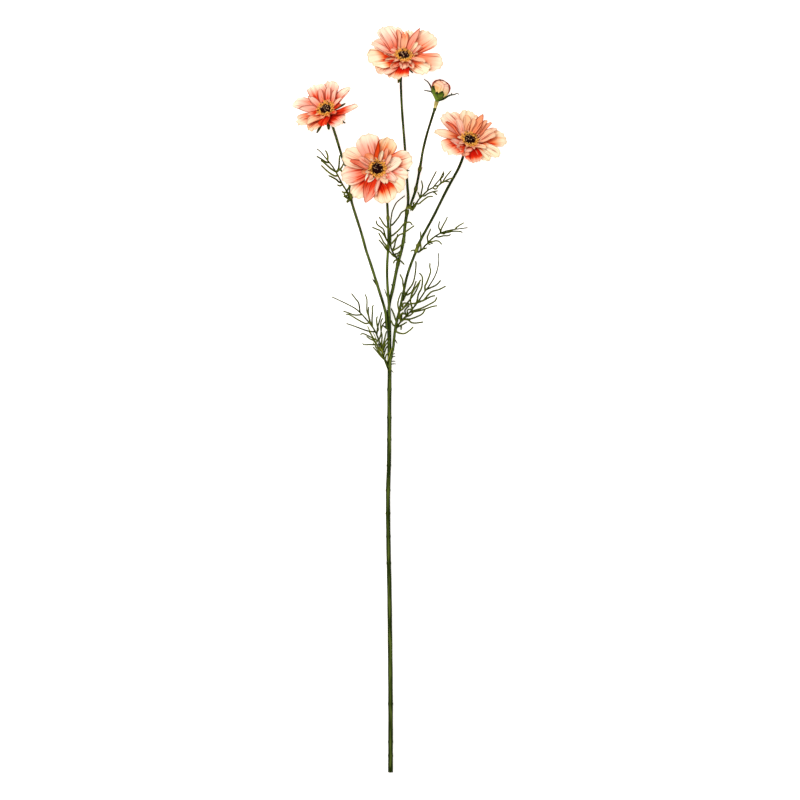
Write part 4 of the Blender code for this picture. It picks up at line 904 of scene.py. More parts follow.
def calculate(tree, operation, a, b=0.0, clamp=False):
    """One sum, difference or other operation on two values."""
    return put(tree, "Math", {0: a, 1: b}, operation=operation, use_clamp=clamp).outputs[0]


def product(tree, *values):
    """All the values multiplied."""
    result, *others = values
    for value in others:
        result = calculate(tree, "MULTIPLY", result, value)
    return result


def between(tree, value, low, high):
    """Smoothly 0 to 1 as the value goes from low to high."""
    node = put(tree, "MapRange", {"Value": value, "From Min": low, "From Max": high},
               interpolation_type="SMOOTHSTEP")
    return node.outputs["Result"]


def mix(tree, share, a, b, blend="MIX"):
    """The colour a turning into b, or into a multiplied by b, as the share goes from 0 to 1."""
    a, b = (c if isinstance(c, bpy.types.NodeSocket) else (*c, 1.0) for c in (a, b))
    return put(tree, "Mix", {0: share, 6: a, 7: b}, data_type="RGBA", blend_type=blend).outputs[2]


def noise(tree, vector, scale, detail=2.0):
    """Noise from 0 to 1 about one half."""
    return put(tree, "TexNoise", {"Vector": vector, "Scale": scale, "Detail": detail}).outputs["Fac"]


def finish_look(tree, shader, colour, height, distance):
    """Feeds the colour and a height, as a bump, to the shader."""
    tree.links.new(colour, shader.inputs["Base Color"])
    node = put(tree, "Bump", {"Height": height, "Distance": distance})
    tree.links.new(node.outputs["Normal"], shader.inputs["Normal"])


def ramp(tree, value, colours):
    """A colour that goes through the given ones in even steps as the value goes from 0 to 1."""
    node = put(tree, "ValToRGB", {0: value})
    elements = node.color_ramp.elements
    while len(elements) < len(colours):
        elements.new(0.5)
    for k, colour in enumerate(colours):
        elements[k].position = k / (len(colours) - 1)
        elements[k].color = (*colour, 1)
    return node.outputs["Color"]


def petal_material(looks):
    """Printed fabric: the tone of each point picks its colour from a warm and from a pink row of
    colours, which are mixed by how pink the petal is.

    Streaks that run along the petal shift the tone; painted shade darkens fine crease lines, is
    drawn as fold lines where a noise crosses its middle, and lies along a petal's sides as the
    painted shadow where petals overlap; a thin line follows the edge.  Veins and a weave give the bump.
    """
    material, tree, shader = new_material("petal_fabric", 0.8, specular_ior_level=0.08)
    along, across, seed = (attribute(tree, name) for name in ("along", "across", "streak"))

    def lengthwise(stretch, depth):
        """A place on the petal, stretched across and along it, at a depth in the noise."""
        x, y = product(tree, across, stretch[0]), product(tree, along, stretch[1])
        return put(tree, "CombineXYZ", {0: x, 1: y, 2: depth}).outputs[0]

    broad = lengthwise(STREAK_STRETCH, seed)
    streaks = calculate(tree, "SUBTRACT", noise(tree, broad, 1.6, 3.0), 0.5)
    streaks = product(tree, streaks, attribute(tree, "streaking"), looks.streak_depth)
    tone = calculate(tree, "ADD", attribute(tree, "tone"), streaks)
    # painted shade: fine crease lines, stronger towards the root, lower the tone
    painted_crease_shade = noise(tree, lengthwise(CREASE_STRETCH, seed), 1.0, 1.0)
    painted_crease_shade = between(tree, painted_crease_shade, *CREASE_LIMITS)
    towards_root = calculate(tree, "SUBTRACT", 1.15, product(tree, along, along))
    painted_crease_shade = product(tree, painted_crease_shade, towards_root, looks.crease_shade_depth)
    tone = calculate(tree, "SUBTRACT", tone, painted_crease_shade, clamp=True)
    warm = ramp(tree, tone, (looks.red, looks.vermilion, looks.orange, looks.peach,
                             looks.pale_peach, looks.cream))
    pink = ramp(tree, tone, (looks.red, looks.rose, looks.coral, looks.pink, looks.pale_pink,
                             looks.ivory))
    colour = mix(tree, attribute(tree, "pink"), warm, pink)

    edge = calculate(tree, "MAXIMUM", calculate(tree, "ABSOLUTE", across), along)
    line = product(tree, between(tree, edge, *EDGE_START), attribute(tree, "line"))
    colour = mix(tree, line, colour, looks.edge_shade, "MULTIPLY")
    # painted shade: dark lines where folds of the fabric would lie in shade
    folding = lengthwise(FOLD_STRETCH, calculate(tree, "ADD", seed, 40.0))
    painted_fold_shade = calculate(tree, "SUBTRACT", noise(tree, folding, 1.0, 1.0), 0.5)
    painted_fold_shade = between(tree, calculate(tree, "ABSOLUTE", painted_fold_shade), looks.fold_width, FOLD_CORE)
    painted_fold_shade = product(tree, painted_fold_shade, looks.fold_depth,
                    between(tree, noise(tree, broad, 0.8, 1.0), *FOLD_LIMITS),
                    between(tree, along, *FOLD_START), between(tree, along, *FOLD_END))
    colour = mix(tree, painted_fold_shade, colour, looks.fold_shade, "MULTIPLY")
    # painted shade: a dark band along the petal's sides stands for the shadow where petals overlap
    sides = between(tree, attribute(tree, "margin"), looks.painted_rim_shade_width, PAINTED_RIM_SHADE_CORE)
    colour = mix(tree, product(tree, sides, attribute(tree, "rim")), colour, looks.painted_rim_shade_colour)
    colour = mix(tree, attribute(tree, "golden"), colour, looks.golden)

    veins = calculate(tree, "SINE", product(tree, across, VEINS))
    weave = noise(tree, place_of(tree), WEAVE_SCALE, 1.0)
    relief = calculate(tree, "ADD", product(tree, veins, VEIN_SHARE), weave)
    finish_look(tree, shader, colour, relief, FABRIC_BUMP)
    return material


def grown_material(name, greens, part, scale, along_share, stretch=1.0):
    """Moulded plastic or thread in the part's dark and light colour: dark to light by noise,
    darker on the sides of a stem or thread as painted shade and where a darker tone is added,
    lighter towards a thread's own tip, and pale at knots.  The noise is stretched along Y."""
    dark, light = (getattr(greens, part + tone) for tone in ("_dark", "_light"))
    material, tree, shader = new_material(name, 0.5, specular_ior_level=0.05)
    place = place_of(tree)
    drawn = put(tree, "Mapping", {"Vector": place, "Scale": (1, 1 / stretch, 1)}).outputs[0]
    # painted shade: the sides of each tube push the colour towards the dark one, as do the darker tones
    # of the cut end and the branches
    weighted_side_shade_and_tone = product(tree, attribute(tree, "flank"), SIDE_SHADE_WEIGHT)
    patches = calculate(tree, "SUBTRACT", noise(tree, drawn, scale, 3.0), weighted_side_shade_and_tone)
    patches = product(tree, between(tree, patches, *PATCH_LIMITS), 1 - along_share)
    lighter = product(tree, attribute(tree, "along"), along_share)
    share = calculate(tree, "ADD", patches, lighter, clamp=True)
    colour = mix(tree, attribute(tree, "pale"), mix(tree, share, dark, light), greens.pale)
    finish_look(tree, shader, colour, noise(tree, place, scale * 6), MOULDED_BUMP)
    return material


def bead_material(looks):
    """Dark beads, some of them lighter with a painted glint."""
    material, tree, shader = new_material("bead_maroon", 0.6, specular_ior_level=0.08)
    # painted highlight: glinting beads are mixed towards a light colour
    colour = mix(tree, attribute(tree, "fleck"), looks.maroon, looks.fleck)
    finish_look(tree, shader, colour, noise(tree, place_of(tree), 2500.0), FINE_BUMP)
    return material


def stamen_material(looks):
    """Amber filaments with golden tips; a tone under zero is a dark tip."""
    material, tree, shader = new_material("stamen_gold", 0.6, specular_ior_level=0.15)
    tone = attribute(tree, "tone")
    grain = noise(tree, place_of(tree), 900.0)
    grained = product(tree, calculate(tree, "SUBTRACT", grain, 0.5), 0.5)
    gilded = calculate(tree, "ADD", tone, grained, clamp=True)
    dark = between(tree, tone, -0.2, -0.6)
    colour = mix(tree, dark, mix(tree, gilded, looks.amber, looks.gold), looks.dot)
    finish_look(tree, shader, colour, grain, FINE_BUMP)
    return material


# ================================================================ settings
def number(text, default, **options):
    """A property for a number, whose text is its name, a comma and the rest of what it says."""
    return bpy.props.FloatProperty(name=text.split(",")[0], description=text, default=default,
                                   **options)


def length(text, default):
    """A property for a length in millimetres."""
    return number(text + " in millimetres", default)


def whole(text, default):
    """A property for a whole number."""
    return bpy.props.IntProperty(name=text.split(",")[0], description=text, default=default, min=1)


def colour_of(text, default):
    """A property for a linear colour."""
    return bpy.props.FloatVectorProperty(name=text.split(",")[0], description=text, default=default,
                                         subtype="COLOR", size=3, min=0, max=1)


class CosmosPetals(bpy.types.PropertyGroup):
    """Sizes and colours of the fabric petals."""

    thickness: length("Thickness, of the petal fabric", 0.28)
    petal_rows: whole("Rows, of points along a petal", 34)
    petal_columns: whole("Columns, of points across a petal", 19)
    petal_start: length("Petal start, distance of its root from the axis", 4.0)
    turn_length: length("Turn length, over which a petal takes its own bearing", 14.0)
    streak_depth: number("Streak depth, how far streaks shift the tone", 1.1)
    # painted shade of crease lines: how much it lowers the tone
    crease_shade_depth: number("Crease depth, how much darker a crease is printed", 0.34)
    # painted shade in the lines of folds: how dark and how wide
    fold_depth: number("Fold depth, how dark the line of a fold is", 0.8)
    fold_width: number("Fold width, how far from its line a fold still shades", 0.045)
    # width of the painted shade along a petal's sides
    painted_rim_shade_width: length("Rim width, of the dark edges of a petal", 1.3)
    # partly the petal's own red root, partly painted shade towards the hub
    root_shade_and_tone_depth: number("Root depth, how much deeper the tone of a petal's root is", 0.15)
    red: colour_of("Red, the deepest tone", (0.60, 0.007, 0.0))
    vermilion: colour_of("Vermilion, warm tone 1", (0.76, 0.050, 0.002))
    orange: colour_of("Orange, warm tone 2", (0.94, 0.27, 0.075))
    peach: colour_of("Peach, warm tone 3", (0.97, 0.455, 0.215))
    pale_peach: colour_of("Pale peach, warm tone 4", (0.96, 0.64, 0.38))
    cream: colour_of("Cream, the lightest warm tone", (0.97, 0.86, 0.62))
    rose: colour_of("Rose, pink tone 1", (0.77, 0.054, 0.012))
    coral: colour_of("Coral, pink tone 2", (0.94, 0.285, 0.19))
    pink: colour_of("Pink, pink tone 3", (0.97, 0.455, 0.355))
    pale_pink: colour_of("Pale pink, pink tone 4", (0.97, 0.61, 0.49))
    ivory: colour_of("Ivory, the lightest pink tone", (0.98, 0.87, 0.70))
    golden: colour_of("Golden, of the feet of the bud's petals", (0.86, 0.66, 0.22))
    edge_shade: colour_of("Edge shade, of a petal's thin edge", (0.52, 0.42, 0.30))
    # colour of the painted shade in the line of a fold
    fold_shade: colour_of("Fold shade, in the line of a fold", (0.44, 0.060, 0.007))
    # colour of the painted shade along a petal's sides, where petals overlap
    painted_rim_shade_colour: colour_of("Rim, of a petal's dark edges", (0.31, 0.024, 0.002))


class CosmosGreens(bpy.types.PropertyGroup):
    """Sizes and colours of the stems, leaves and calyces."""

    main_radius: length("Main radius, of the stem at its cut end", 2.45)
    main_top_radius: length("Main top radius, of the stem where it branches", 2.02)
    joint_swell: length("Joint swell, of the ring-shaped joints", 0.35)
    stalk_radius: length("Stalk radius, of a leaf's stalk at its root", 1.0)
    thread_radius: length("Thread radius, of a leaf's threads at their roots", 0.86)
    thread_tip_radius: length("Thread tip radius, of the threads at their tips", 0.66)
    stem_dark: colour_of("Stem dark, of the patches", (0.013, 0.026, 0.0005))
    stem_light: colour_of("Stem light, between the patches", (0.092, 0.136, 0.020))
    leaf_dark: colour_of("Leaf dark, at the roots", (0.012, 0.022, 0.0005))
    leaf_light: colour_of("Leaf light, at the tips", (0.110, 0.150, 0.009))
    pale: colour_of("Pale, of the knots and the lightest threads", (0.33, 0.38, 0.06))
    bud_dark: colour_of("Bud dark, of the bud's calyx", (0.012, 0.026, 0.002))
    bud_light: colour_of("Bud light, of the bud's calyx", (0.195, 0.310, 0.020))
    collar_dark: colour_of("Collar dark, of the bud's collar", (0.38, 0.33, 0.10))
    collar_light: colour_of("Collar light, of the bud's collar", (0.74, 0.67, 0.30))
    calyx_dark: colour_of("Calyx dark, of the patches", (0.020, 0.035, 0.005))
    calyx_light: colour_of("Calyx light, between the patches", (0.110, 0.160, 0.030))


class CosmosCentres(bpy.types.PropertyGroup):
    """Sizes and colours of the centres and stamens."""

    dome_radius: length("Dome radius, of the dark centre", 6.0)
    dome_height: length("Dome height, of the dark centre", 3.8)
    bead_count: whole("Beads, on a dark centre", 90)
    bead_radius: length("Bead radius, of a bead", 0.55)
    bristle_count: whole("Bristles, round a dark centre", 34)
    stamen_rows: whole("Stamen rows, rings of stamens", 3)
    stamen_count: whole("Stamens, in the first ring", 30)
    maroon: colour_of("Maroon, of the beads", (0.018, 0.0015, 0.002))
    # colour of the painted glint on the lighter beads
    fleck: colour_of("Fleck, of the lighter beads", (0.80, 0.50, 0.27))
    gold: colour_of("Gold, of the stamens' tips", (1.0, 0.60, 0.12))
    amber: colour_of("Amber, of the stamens' feet", (0.72, 0.24, 0.02))
    dot: colour_of("Dot, of the dark stamens", (0.10, 0.02, 0.004))


class CosmosStage(bpy.types.PropertyGroup):
    """The floor, the lights and the camera."""

    floor_size: number("Floor size, side of the floor", 4.0, unit="LENGTH")
    camera_height: number("Camera height, over the floor", 6.0, unit="LENGTH")
    seen_width: number("Seen width, of floor that the camera sees", 0.8, unit="LENGTH")
    sky: number("Sky, strength of the even light", 0.70)
    key: number("Key, power of the large lamp in watts", 29.5)
    light_colour: colour_of("Light, of both lamps", (1.0, 0.93, 0.87))
    floor_colour: colour_of("Floor, of the stage", (0.93, 0.93, 0.93))


SETTINGS = {"petals": CosmosPetals, "greens": CosmosGreens, "centres": CosmosCentres,
            "stage": CosmosStage}


def settings(context, group):
    """One group of the scene's settings."""
    return getattr(context.scene, "cosmos_" + group)


# ================================================================ operators
class COSMOS_OT_stage(bpy.types.Operator):
    """Make the floor, the soft lights and the camera that looks straight down."""

    bl_idname = "cosmos.stage"
    bl_label = "Stage"

    def execute(self, context):
        stage = settings(context, "stage")
        half = stage.floor_size / 2
        mesh = bpy.data.meshes.new("floor")
        mesh.from_pydata([(-half, -half, 0), (half, -half, 0), (half, half, 0), (-half, half, 0)],
                         [], [(0, 1, 2, 3)])
        material, _, shader = new_material("floor_paper", 0.9, emission_strength=FLOOR_GLOW)
        shader.inputs["Base Color"].default_value = (*stage.floor_colour, 1)
        shader.inputs["Emission Color"].default_value = (1, 1, 1, 1)
        mesh.materials.append(material)
        floor = add_object("floor", mesh)

        world = bpy.data.worlds.new("studio")
        world.use_nodes = True
        background = world.node_tree.nodes["Background"]
        background.inputs["Color"].default_value = (*stage.light_colour, 1)
        background.inputs["Strength"].default_value = stage.sky
        context.scene.world = world
        context.scene.view_settings.view_transform = "Standard"

        lamp = bpy.data.lights.new("key", "AREA")
        lamp.energy = stage.key
        lamp.color = stage.light_colour
        lamp.shape = "SQUARE"
        lamp.size = LAMP_SIZE
        key = add_object("key", lamp)
        key.location = LAMP_PLACE
        key.rotation_euler = LAMP_TURN

        camera = bpy.data.cameras.new("camera")
        camera.sensor_width = SENSOR_WIDTH
        camera.lens = SENSOR_WIDTH * (stage.camera_height - SEEN_HEIGHT) / stage.seen_width
        camera.clip_end = FAR_LIMIT
        eye = add_object("camera", camera)
        eye.location = (*VIEW_MIDDLE, stage.camera_height)
        context.scene.camera = eye
        return {"FINISHED"}


class COSMOS_OT_stems(bpy.types.Operator):
    """Make the main stem with its joints, and the branches."""

    bl_idname = "cosmos.stems"
    bl_label = "Stems"

    def execute(self, context):
        greens = settings(context, "greens")
        material = grown_material("stem_plastic", greens, "stem", 420.0, 0.0, 9.0)
        build_piece("main_stem_skin", main_stem_skins(greens), material, ["main_stem"])
        for name in BRANCHES:
            build_piece(name + "_skin", branch_skins(name), material, [name])
        return {"FINISHED"}


def main_stem_skins(greens):
    """The main stem with its joints, its ridges and ripples, its dark cut end and the threads on it."""
    route = smooth_route(MAIN_ROUTE, STEM_STEP)
    y = route[:, 1, None]
    radii = taper(len(route), greens.main_radius, greens.main_top_radius)
    joints = bell(y, np.array(MAIN_JOINTS), JOINT_HALF_LENGTH / 2).sum(axis=1)
    angles = circle(STEM_SIDES)
    relief = np.cos(STEM_RIDGES * angles) + np.sin(y / STEM_RIPPLE + 2 * np.sin(angles))
    ring_y, ring_width, ring_paleness = PALE_RING
    pale = ring_paleness * bell(y, ring_y, ring_width)
    skins = [tube(route, radii + greens.joint_swell * joints, STEM_SIDES, {"along": 0.0, "pale": pale},
                  reference=SIDEWAYS, relief=STEM_RELIEF * relief,
                  shade=CUT_SHADE * bell(y, y[0], CUT_LENGTH))]
    skins += [thread([route], bit, STEM_THREAD)[0] for bit in STEM_THREADS]
    skins.append(thread([route], LEAF_FOOT, LEAF_STUMP)[0])
    return skins


def branch_skins(name):
    """A branch with its knots, its ripples and the bits on it.  One that carries a blossom ends
    in a neck along the blossom's axis, just short of its calyx."""
    points, start, end, shades, blossom = BRANCHES[name]
    if blossom:
        turn, hub = blossom_frame(blossom)
        necks = [hub - turn @ UP * (CALYX_DEPTH + depth) for depth in (NECK_LENGTH, JOINT_GAP)]
        points = (*points, *necks)
    route = smooth_route(points, STEM_STEP)
    y = route[:, 1]
    relief = BRANCH_RELIEF * np.sin(y[:, None] / BRANCH_RIPPLE + 2 * circle(BRANCH_SIDES))
    radii = taper(len(route), start, end)
    pale = np.zeros(len(route))
    for place, swell, paleness in BRANCH_KNOTS[name]:
        knot = bell(y, place, JOINT_HALF_LENGTH)
        radii = radii + swell * knot
        pale = pale + paleness * knot
    skins = [tube(route, radii, BRANCH_SIDES, {"along": 0.0, "pale": pale[:, None]},
                  reference=SIDEWAYS, relief=relief,
                  shade=np.linspace(*shades, len(route))[:, None])]
    return skins + [thread([route], bit, BRANCH_BIT)[0] for bit in BRANCH_BITS[name]]


class COSMOS_OT_leaves(bpy.types.Operator):
    """Make the feathery leaves: stalks with threads growing out of them."""

    bl_idname = "cosmos.leaves"
    bl_label = "Leaves"

    def execute(self, context):
        greens = settings(context, "greens")
        material = grown_material("leaf_thread", greens, "leaf", 260.0, 0.45)
        leaves = {}
        for name, low, high, stalk, shoots in LEAVES:
            second = name in leaves
            scale = SECOND_SCALE if second else THREAD_SCALES.get(name, 1.0)
            thick = greens.thread_radius * scale if second else greens.stalk_radius
            pale = SECOND_PALENESS if second else 0.0
            stalk = np.reshape(stalk, (-1, 2))
            heights = np.linspace(low, high, len(stalk))
            route = smooth_route(np.column_stack([stalk, heights]), THREAD_STEP)
            values = {"along": np.linspace(0, 0.5, len(route))[:, None], "pale": pale}
            radii = taper(len(route), thick, STALK_TIP, TIP_ROUNDNESS)
            skins = [tube(route, radii, STALK_SIDES, values)]
            routes = [route]
            for k, shoot in enumerate(shoots):
                form = (SHOOT_SLOPES[k % len(SHOOT_SLOPES)], greens.thread_radius * scale,
                        greens.thread_tip_radius * scale)
                thread_skin, grown = thread(routes, shoot, form, (pale + SHOOT_PALENESS) * (k % 3))
                skins.append(thread_skin)
                routes.append(grown)
            leaves.setdefault(name, []).extend(skins)
        for name, skins in leaves.items():
            build_piece(name + "_threads", skins, material, [name])
        return {"FINISHED"}


def thread(routes, shoot, form, pale=0.0):
    """A thread that rises evenly with its length, and its route.  Its form is its rise per
    length and its radii at the foot and at the tip.  It leaves the nearest point of the routes
    or, where all of them are too far away, starts at the height of the first one's foot."""
    slope, radius, tip_radius = form
    flat = np.reshape(shoot, (-1, 2)).astype(float)
    grown = np.vstack(routes)
    away = np.linalg.norm(grown[:, :2] - flat[0], axis=1)
    nearest = np.argmin(away)
    start = grown[0, 2]
    if away[nearest] < GROWING_REACH:
        flat[0], start = grown[nearest, :2], grown[nearest, 2]
    heights = np.maximum(start + slope * distances(flat), LOWEST_THREAD)
    route = smooth_route(np.column_stack([flat, heights]), THREAD_STEP)
    along = np.linspace(0.1, 1, len(route))[:, None]
    values = {"along": along, "pale": pale * (1 - 0.5 * along)}
    radii = taper(len(route), radius, tip_radius, TIP_ROUNDNESS)
    return tube(route, radii, THREAD_SIDES, values), route


class COSMOS_OT_petals(bpy.types.Operator):
    """Make the three layers of petals of each blossom."""

    bl_idname = "cosmos.petals"
    bl_label = "Petals"

    def execute(self, context):
        looks = settings(context, "petals")
        material = petal_material(looks)
        for blossom in BLOSSOMS:
            layers = (("outer", OUTER_PETALS[blossom], "petal_pink"),
                      ("middle", MIDDLE_PETALS[blossom], "petal_coral"),
                      ("inner", inner_petals(blossom), "petal_cream"))
            for order, (layer, petals, slot) in enumerate(layers):
                node = f"{blossom}_{layer}_petals"
                skins = petal_layer(blossom, petals, order, looks)
                build_piece(node + "_fabric", skins, material, [node])
        return {"FINISHED"}


class COSMOS_OT_centres(bpy.types.Operator):
    """Make the beaded dark centres and the golden stamens round them."""

    bl_idname = "cosmos.centres"
    bl_label = "Centres and stamens"

    def execute(self, context):
        looks = settings(context, "centres")
        beads = bead_material(looks)
        gold = stamen_material(looks)
        for order, blossom in enumerate(BLOSSOMS):
            turn, hub = blossom_frame(blossom)
            random = np.random.default_rng((CENTRE_SEED, order))
            build_piece(blossom + "_centre_beads", moved(centre_skins(looks, random), turn, hub),
                        beads, [blossom + "_centre"])
            build_piece(blossom + "_stamen_ring", moved(stamen_skins(looks, random), turn, hub),
                        gold, [blossom + "_stamens"])
        return {"FINISHED"}


def centre_skins(looks, random):
    """A low dome with beads at golden-angle steps, and bristles round it: the distance of a bead
    from the axis grows as the root of its number, and the beads stand on the dome."""
    x = np.linspace(0.96, 0, 8)
    heights = DOME_FOOT + looks.dome_height * np.sqrt(1 - x ** 2)
    profile = np.stack([heights, looks.dome_radius * x + 0.05], 1)
    profile = np.vstack([[DOME_FOOT, looks.dome_radius * 0.9], profile])
    dome = skin(turned(profile, 20), {"fleck": 0.0})
    order = np.arange(looks.bead_count)
    share = np.sqrt((order + 0.5) / looks.bead_count)
    height = DOME_FOOT + 0.2 + looks.dome_height * np.sqrt(np.maximum(1 - share ** 2, 0))
    places = polar(looks.dome_radius * 1.02 * share, order * GOLDEN_ANGLE, height)
    places += random.normal(0, BEAD_SPREAD, places.shape)
    sizes = looks.bead_radius * random.uniform(*BEAD_SIZES, looks.bead_count)[:, None] * BEAD_SHAPE
    # painted highlight: a few beads carry a lighter glint
    lighter = random.uniform(0, 1, looks.bead_count) > RARE
    fleck = lighter * random.uniform(0.3, 1.0, looks.bead_count)
    skins = [dome] + copies(ball(5, 7), places, sizes, {"fleck": fleck})
    for bearing in random.uniform(0, 2 * np.pi, looks.bristle_count):
        foot = polar(looks.dome_radius * 0.85, bearing, CENTRE_BASE + 0.8)
        tip = polar(looks.dome_radius + random.uniform(*BRISTLE_REACH), bearing,
                    CENTRE_BASE + random.uniform(*BRISTLE_RISE))
        radii = taper(4, *BRISTLE_RADII)
        skins.append(tube(np.linspace(foot, tip, 4), radii, THIN_SIDES, {"fleck": 0.0}))
    return skins


def stamen_skins(looks, random):
    """Rings of thin filaments that lean outwards from the dome, each with a swollen tip, over a
    ring of short filaments that is made as one skirt."""
    skins = [skin(turned(SKIRT_PROFILE, 72, 24, 0.06), {"tone": 0.3})]
    for ring in range(looks.stamen_rows):
        stamens = looks.stamen_count + 5 * ring
        angles = 2 * np.pi * (np.arange(stamens) + 0.5 * ring) / stamens
        angles += random.normal(0, STAMEN_SPREAD, stamens)
        reach, rise = (first + step * ring + random.normal(0, spread, stamens)
                       for first, step, spread in (STAMEN_REACH, STAMEN_RISE))
        tips = polar(reach, angles, CENTRE_BASE + rise)
        feet = polar(5.2 + 0.3 * ring, angles, CENTRE_BASE - 0.6)
        dark = random.uniform(0, 1, stamens) > RARE
        tones = np.where(dark, -1.0, random.uniform(0.6, 1.0, stamens))
        for start, tip in zip(feet, tips):
            middle = (start + tip) / 2 + UP * 0.5
            route = smooth_route((start, middle, tip), FILAMENT_STEP)
            skins.append(tube(route, FILAMENT_RADIUS, THIN_SIDES, {"tone": 0.6}))
        sizes = random.uniform(*STAMEN_TIP_SIZES, stamens)[:, None] * STAMEN_TIP_SHAPE
        skins += copies(ball(4, 6), tips, sizes, {"tone": tones})
    return skins


class COSMOS_OT_calyces(bpy.types.Operator):
    """Make the calyx behind each blossom: a ribbed cup with thin sepals."""

    bl_idname = "cosmos.calyces"
    bl_label = "Calyces"

    def execute(self, context):
        greens = settings(context, "greens")
        material = grown_material("calyx_plastic", greens, "calyx", 300.0, 0.2)
        for blossom in BLOSSOMS:
            cup = turned(CALYX_PROFILE, 48, RIBS, RIB_DEPTH)
            skins = [skin(cup, {"along": 0.3})]
            short_reach, bearings = SHORT_SEPALS[blossom]
            short_sepals = tuple((bearing, short_reach, 1.0) for bearing in bearings)
            for bearing, reach, radius in SEPALS[blossom] + short_sepals:
                points = polar(np.array((4.0, 0.6 * reach, reach)), math.radians(bearing), SEPAL_DROPS)
                route = smooth_route(points, SEPAL_STEP)
                share = np.linspace(0, 1, len(route))
                radii = radius * np.interp(share, SEPAL_PLACES, SEPAL_WIDTHS)
                values = {"along": -0.6 * share[:, None] ** 2}
                skins.append(tube(route, radii, SEPAL_SIDES, values, flat=SEPAL_FLATNESS))
            build_piece(blossom + "_calyx_cup", moved(skins, *blossom_frame(blossom)), material,
                        [blossom + "_calyx"])
        return {"FINISHED"}


class COSMOS_OT_bud(bpy.types.Operator):
    """Make the bud: wrapped petals in a calyx with raised sepals, on a collar."""

    bl_idname = "cosmos.bud"
    bl_label = "Bud"

    def execute(self, context):
        greens = settings(context, "greens")
        looks = settings(context, "petals")
        axis = unit(BUD_AXIS)
        turn = turn_matrix(unit(np.cross(UP, axis)), math.acos(axis[2]))
        fabric = petal_material(looks)
        green = grown_material("bud_green", greens, "bud", 260.0, 0.5)
        olive = grown_material("collar_plastic", greens, "collar", 200.0, 0.0)
        build_piece("bud_petal_wrap", moved(bud_petal_skins(looks), turn, BUD_BASE), fabric,
                    ["bud_petals"])
        cup = moved(bud_calyx_skins(), turn, BUD_BASE)
        build_piece("bud_calyx_cup", cup + bud_curl_skins(), green, ["bud_calyx"])
        route = smooth_route((BUD_ROUTE[-1], BUD_BASE - axis * COLLAR_GAP), COLLAR_STEP)
        radii = taper(len(route), *COLLAR_RADII)
        collar = tube(route, radii, BRANCH_SIDES, {"along": 0.0}, reference=SIDEWAYS)
        build_piece("bud_collar_sleeve", [collar], olive, ["bud_collar"])
        return {"FINISHED"}


def bud_radius(height):
    """The bud's radius at a height, from its profile."""
    return np.interp(height, BUD_PROFILE[:, 0], BUD_PROFILE[:, 1])


def bud_petal_skins(looks):
    """The folded petals: a core turned round the axis and sheets wrapped round it, each over its own
    stretch of bearings and heights.  The back ones flare out and are painted dark all over as
    painted shade, so that their dark faces edge the bud; the others carry painted shade along
    their sides and upper edges."""
    heights = np.linspace(*BUD_CORE_ENDS, 24)
    core = turned(np.stack([heights, bud_radius(heights) * 0.93], 1), 36, 6, RIB_DEPTH)
    share = np.linspace(0, 1, 24)[:, None]
    skins = [skin(core, {"along": share * 0.7, "across": 0.0, "margin": 4.0, "tone": 0.95 - 0.1 * share,
                         "streaking": 0.3, "pink": 0.7, "rim": 0.0, "line": 0.3, "streak": 5.0,
                         "golden": 0.6 * (1 - share) ** 2})]
    for k, (first, last, top, offset, pink, dark, tone, golden) in enumerate(BUD_PETALS):
        s, t = grid(26, 33)
        height = BUD_PETAL_FOOT + (top - 1.6 * t ** 4 - BUD_PETAL_FOOT) * s
        bearing = np.radians((first + last) / 2 + (last - first) / 2 * t)
        flare = offset * (s ** 1.6 if dark else 1) + 0.25 * np.sin(9 * t + k) * s ** 3
        # painted shade: all over the back petals, and along the sides and upper edges of the others
        rim = np.maximum(np.maximum(np.abs(t) ** 5, s ** 9), dark)
        values = {"along": 0.55 + 0.38 * s, "across": rim, "margin": 3.9 - 3.7 * rim,
                  "tone": tone - 0.20 * s, "streaking": 0.22, "pink": pink, "rim": 0.92,
                  "line": 0.6, "streak": 11.0 * k,
                  "golden": np.clip(1.5 - golden * s, 0, 1) * (1 - dark)}
        sheet = polar(bud_radius(height) + flare, bearing, height)
        skins.append(sheet_skin(sheet, looks.thickness, values))
    return skins


def bud_calyx_skins():
    """The bud's cup and the pointed sepals that follow its side."""
    skins = [skin(turned(BUD_CUP_PROFILE, 40, RIBS, RIB_DEPTH), {"along": 0.5})]
    for k, (bearing, half_width, top, lightness) in enumerate(BUD_SEPALS):
        s, t = grid(20, 13)
        height = BUD_SEPAL_FOOT + (top - BUD_SEPAL_FOOT) * s
        half = np.radians(half_width) * (1 - s ** 2.2) + 0.02
        radius = bud_radius(height) + 0.85 + 0.15 * k % 0.4 + 0.7 * s ** 3 - 0.5 * t ** 2
        sheet = polar(radius, np.radians(bearing) + half * t, height)
        along = lightness - 2.2 * np.maximum(s ** 4, np.abs(t) ** 2.6) - 0.4 * bell(t, 0, 0.15) * s
        skins.append(sheet_skin(sheet, BUD_SEPAL_THICKNESS, {"along": along}))
    return skins


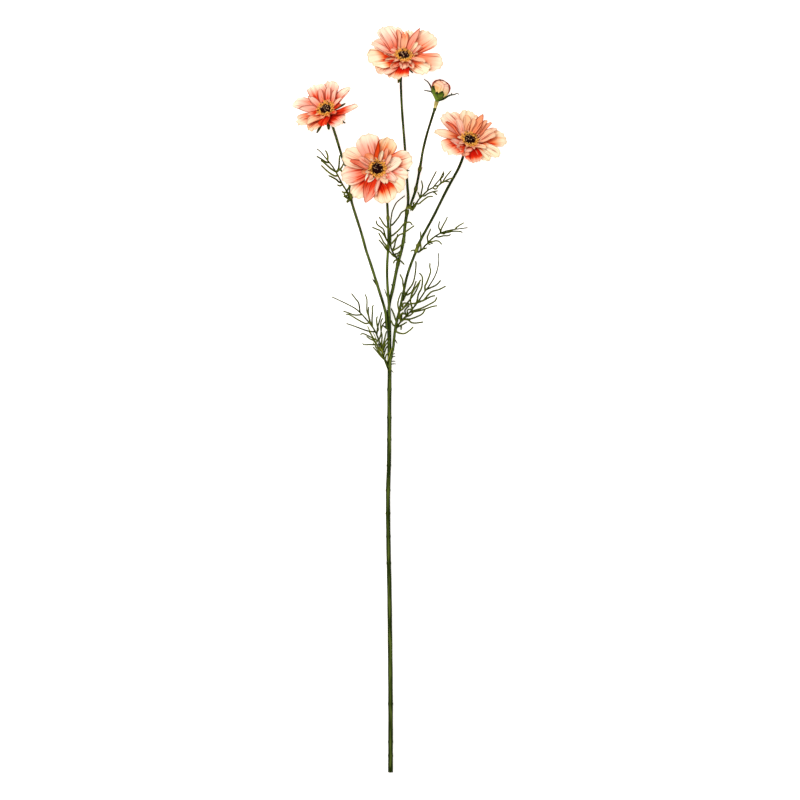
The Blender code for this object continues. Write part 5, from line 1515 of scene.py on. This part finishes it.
def bud_curl_skins():
    """The thin sepals that stand off the bud, darker than the rest."""
    skins = []
    for points, radius in BUD_CURLS:
        heights = CURL_HEIGHT + CURL_ARCH * np.sin(np.linspace(0, np.pi, len(points)))
        route = smooth_route(np.column_stack([points, heights]), SEPAL_STEP)
        radii = np.interp(np.linspace(0, 1, len(route)), (0, 0.5, 1), (radius, 0.75 * radius, 0.45))
        skins.append(tube(route, radii, SEPAL_SIDES, {"along": -1.0}, flat=CURL_FLATNESS))
    return skins


# ================================================================ panel and registration
OPERATORS = (COSMOS_OT_stage, COSMOS_OT_stems, COSMOS_OT_leaves, COSMOS_OT_petals, COSMOS_OT_centres,
             COSMOS_OT_calyces, COSMOS_OT_bud)


class COSMOS_PT_panel(bpy.types.Panel):
    """Lists the steps that build the spray, and its settings."""

    bl_label = "Cosmos Spray"
    bl_idname = "COSMOS_PT_panel"
    bl_space_type = "VIEW_3D"
    bl_region_type = "UI"
    bl_category = "Cosmos"

    def draw(self, context):
        for operator in OPERATORS:
            self.layout.operator(operator.bl_idname)
        for group in SETTINGS:
            box = self.layout.box()
            for key in SETTINGS[group].__annotations__:
                box.prop(settings(context, group), key)


def register():
    """Register the settings, the operators and the panel."""
    for group, holder in SETTINGS.items():
        bpy.utils.register_class(holder)
        setattr(bpy.types.Scene, "cosmos_" + group, bpy.props.PointerProperty(type=holder))
    for operator in OPERATORS:
        bpy.utils.register_class(operator)
    bpy.utils.register_class(COSMOS_PT_panel)


def unregister():
    """Take back what register did."""
    bpy.utils.unregister_class(COSMOS_PT_panel)
    for operator in reversed(OPERATORS):
        bpy.utils.unregister_class(operator)
    for group, holder in reversed(SETTINGS.items()):
        delattr(bpy.types.Scene, "cosmos_" + group)
        bpy.utils.unregister_class(holder)


def main():
    """Build everything in order."""
    register()
    bpy.ops.cosmos.stage()
    bpy.ops.cosmos.stems()
    bpy.ops.cosmos.leaves()
    bpy.ops.cosmos.petals()
    bpy.ops.cosmos.centres()
    bpy.ops.cosmos.calyces()
    bpy.ops.cosmos.bud()


if __name__ == "__main__":
    main()
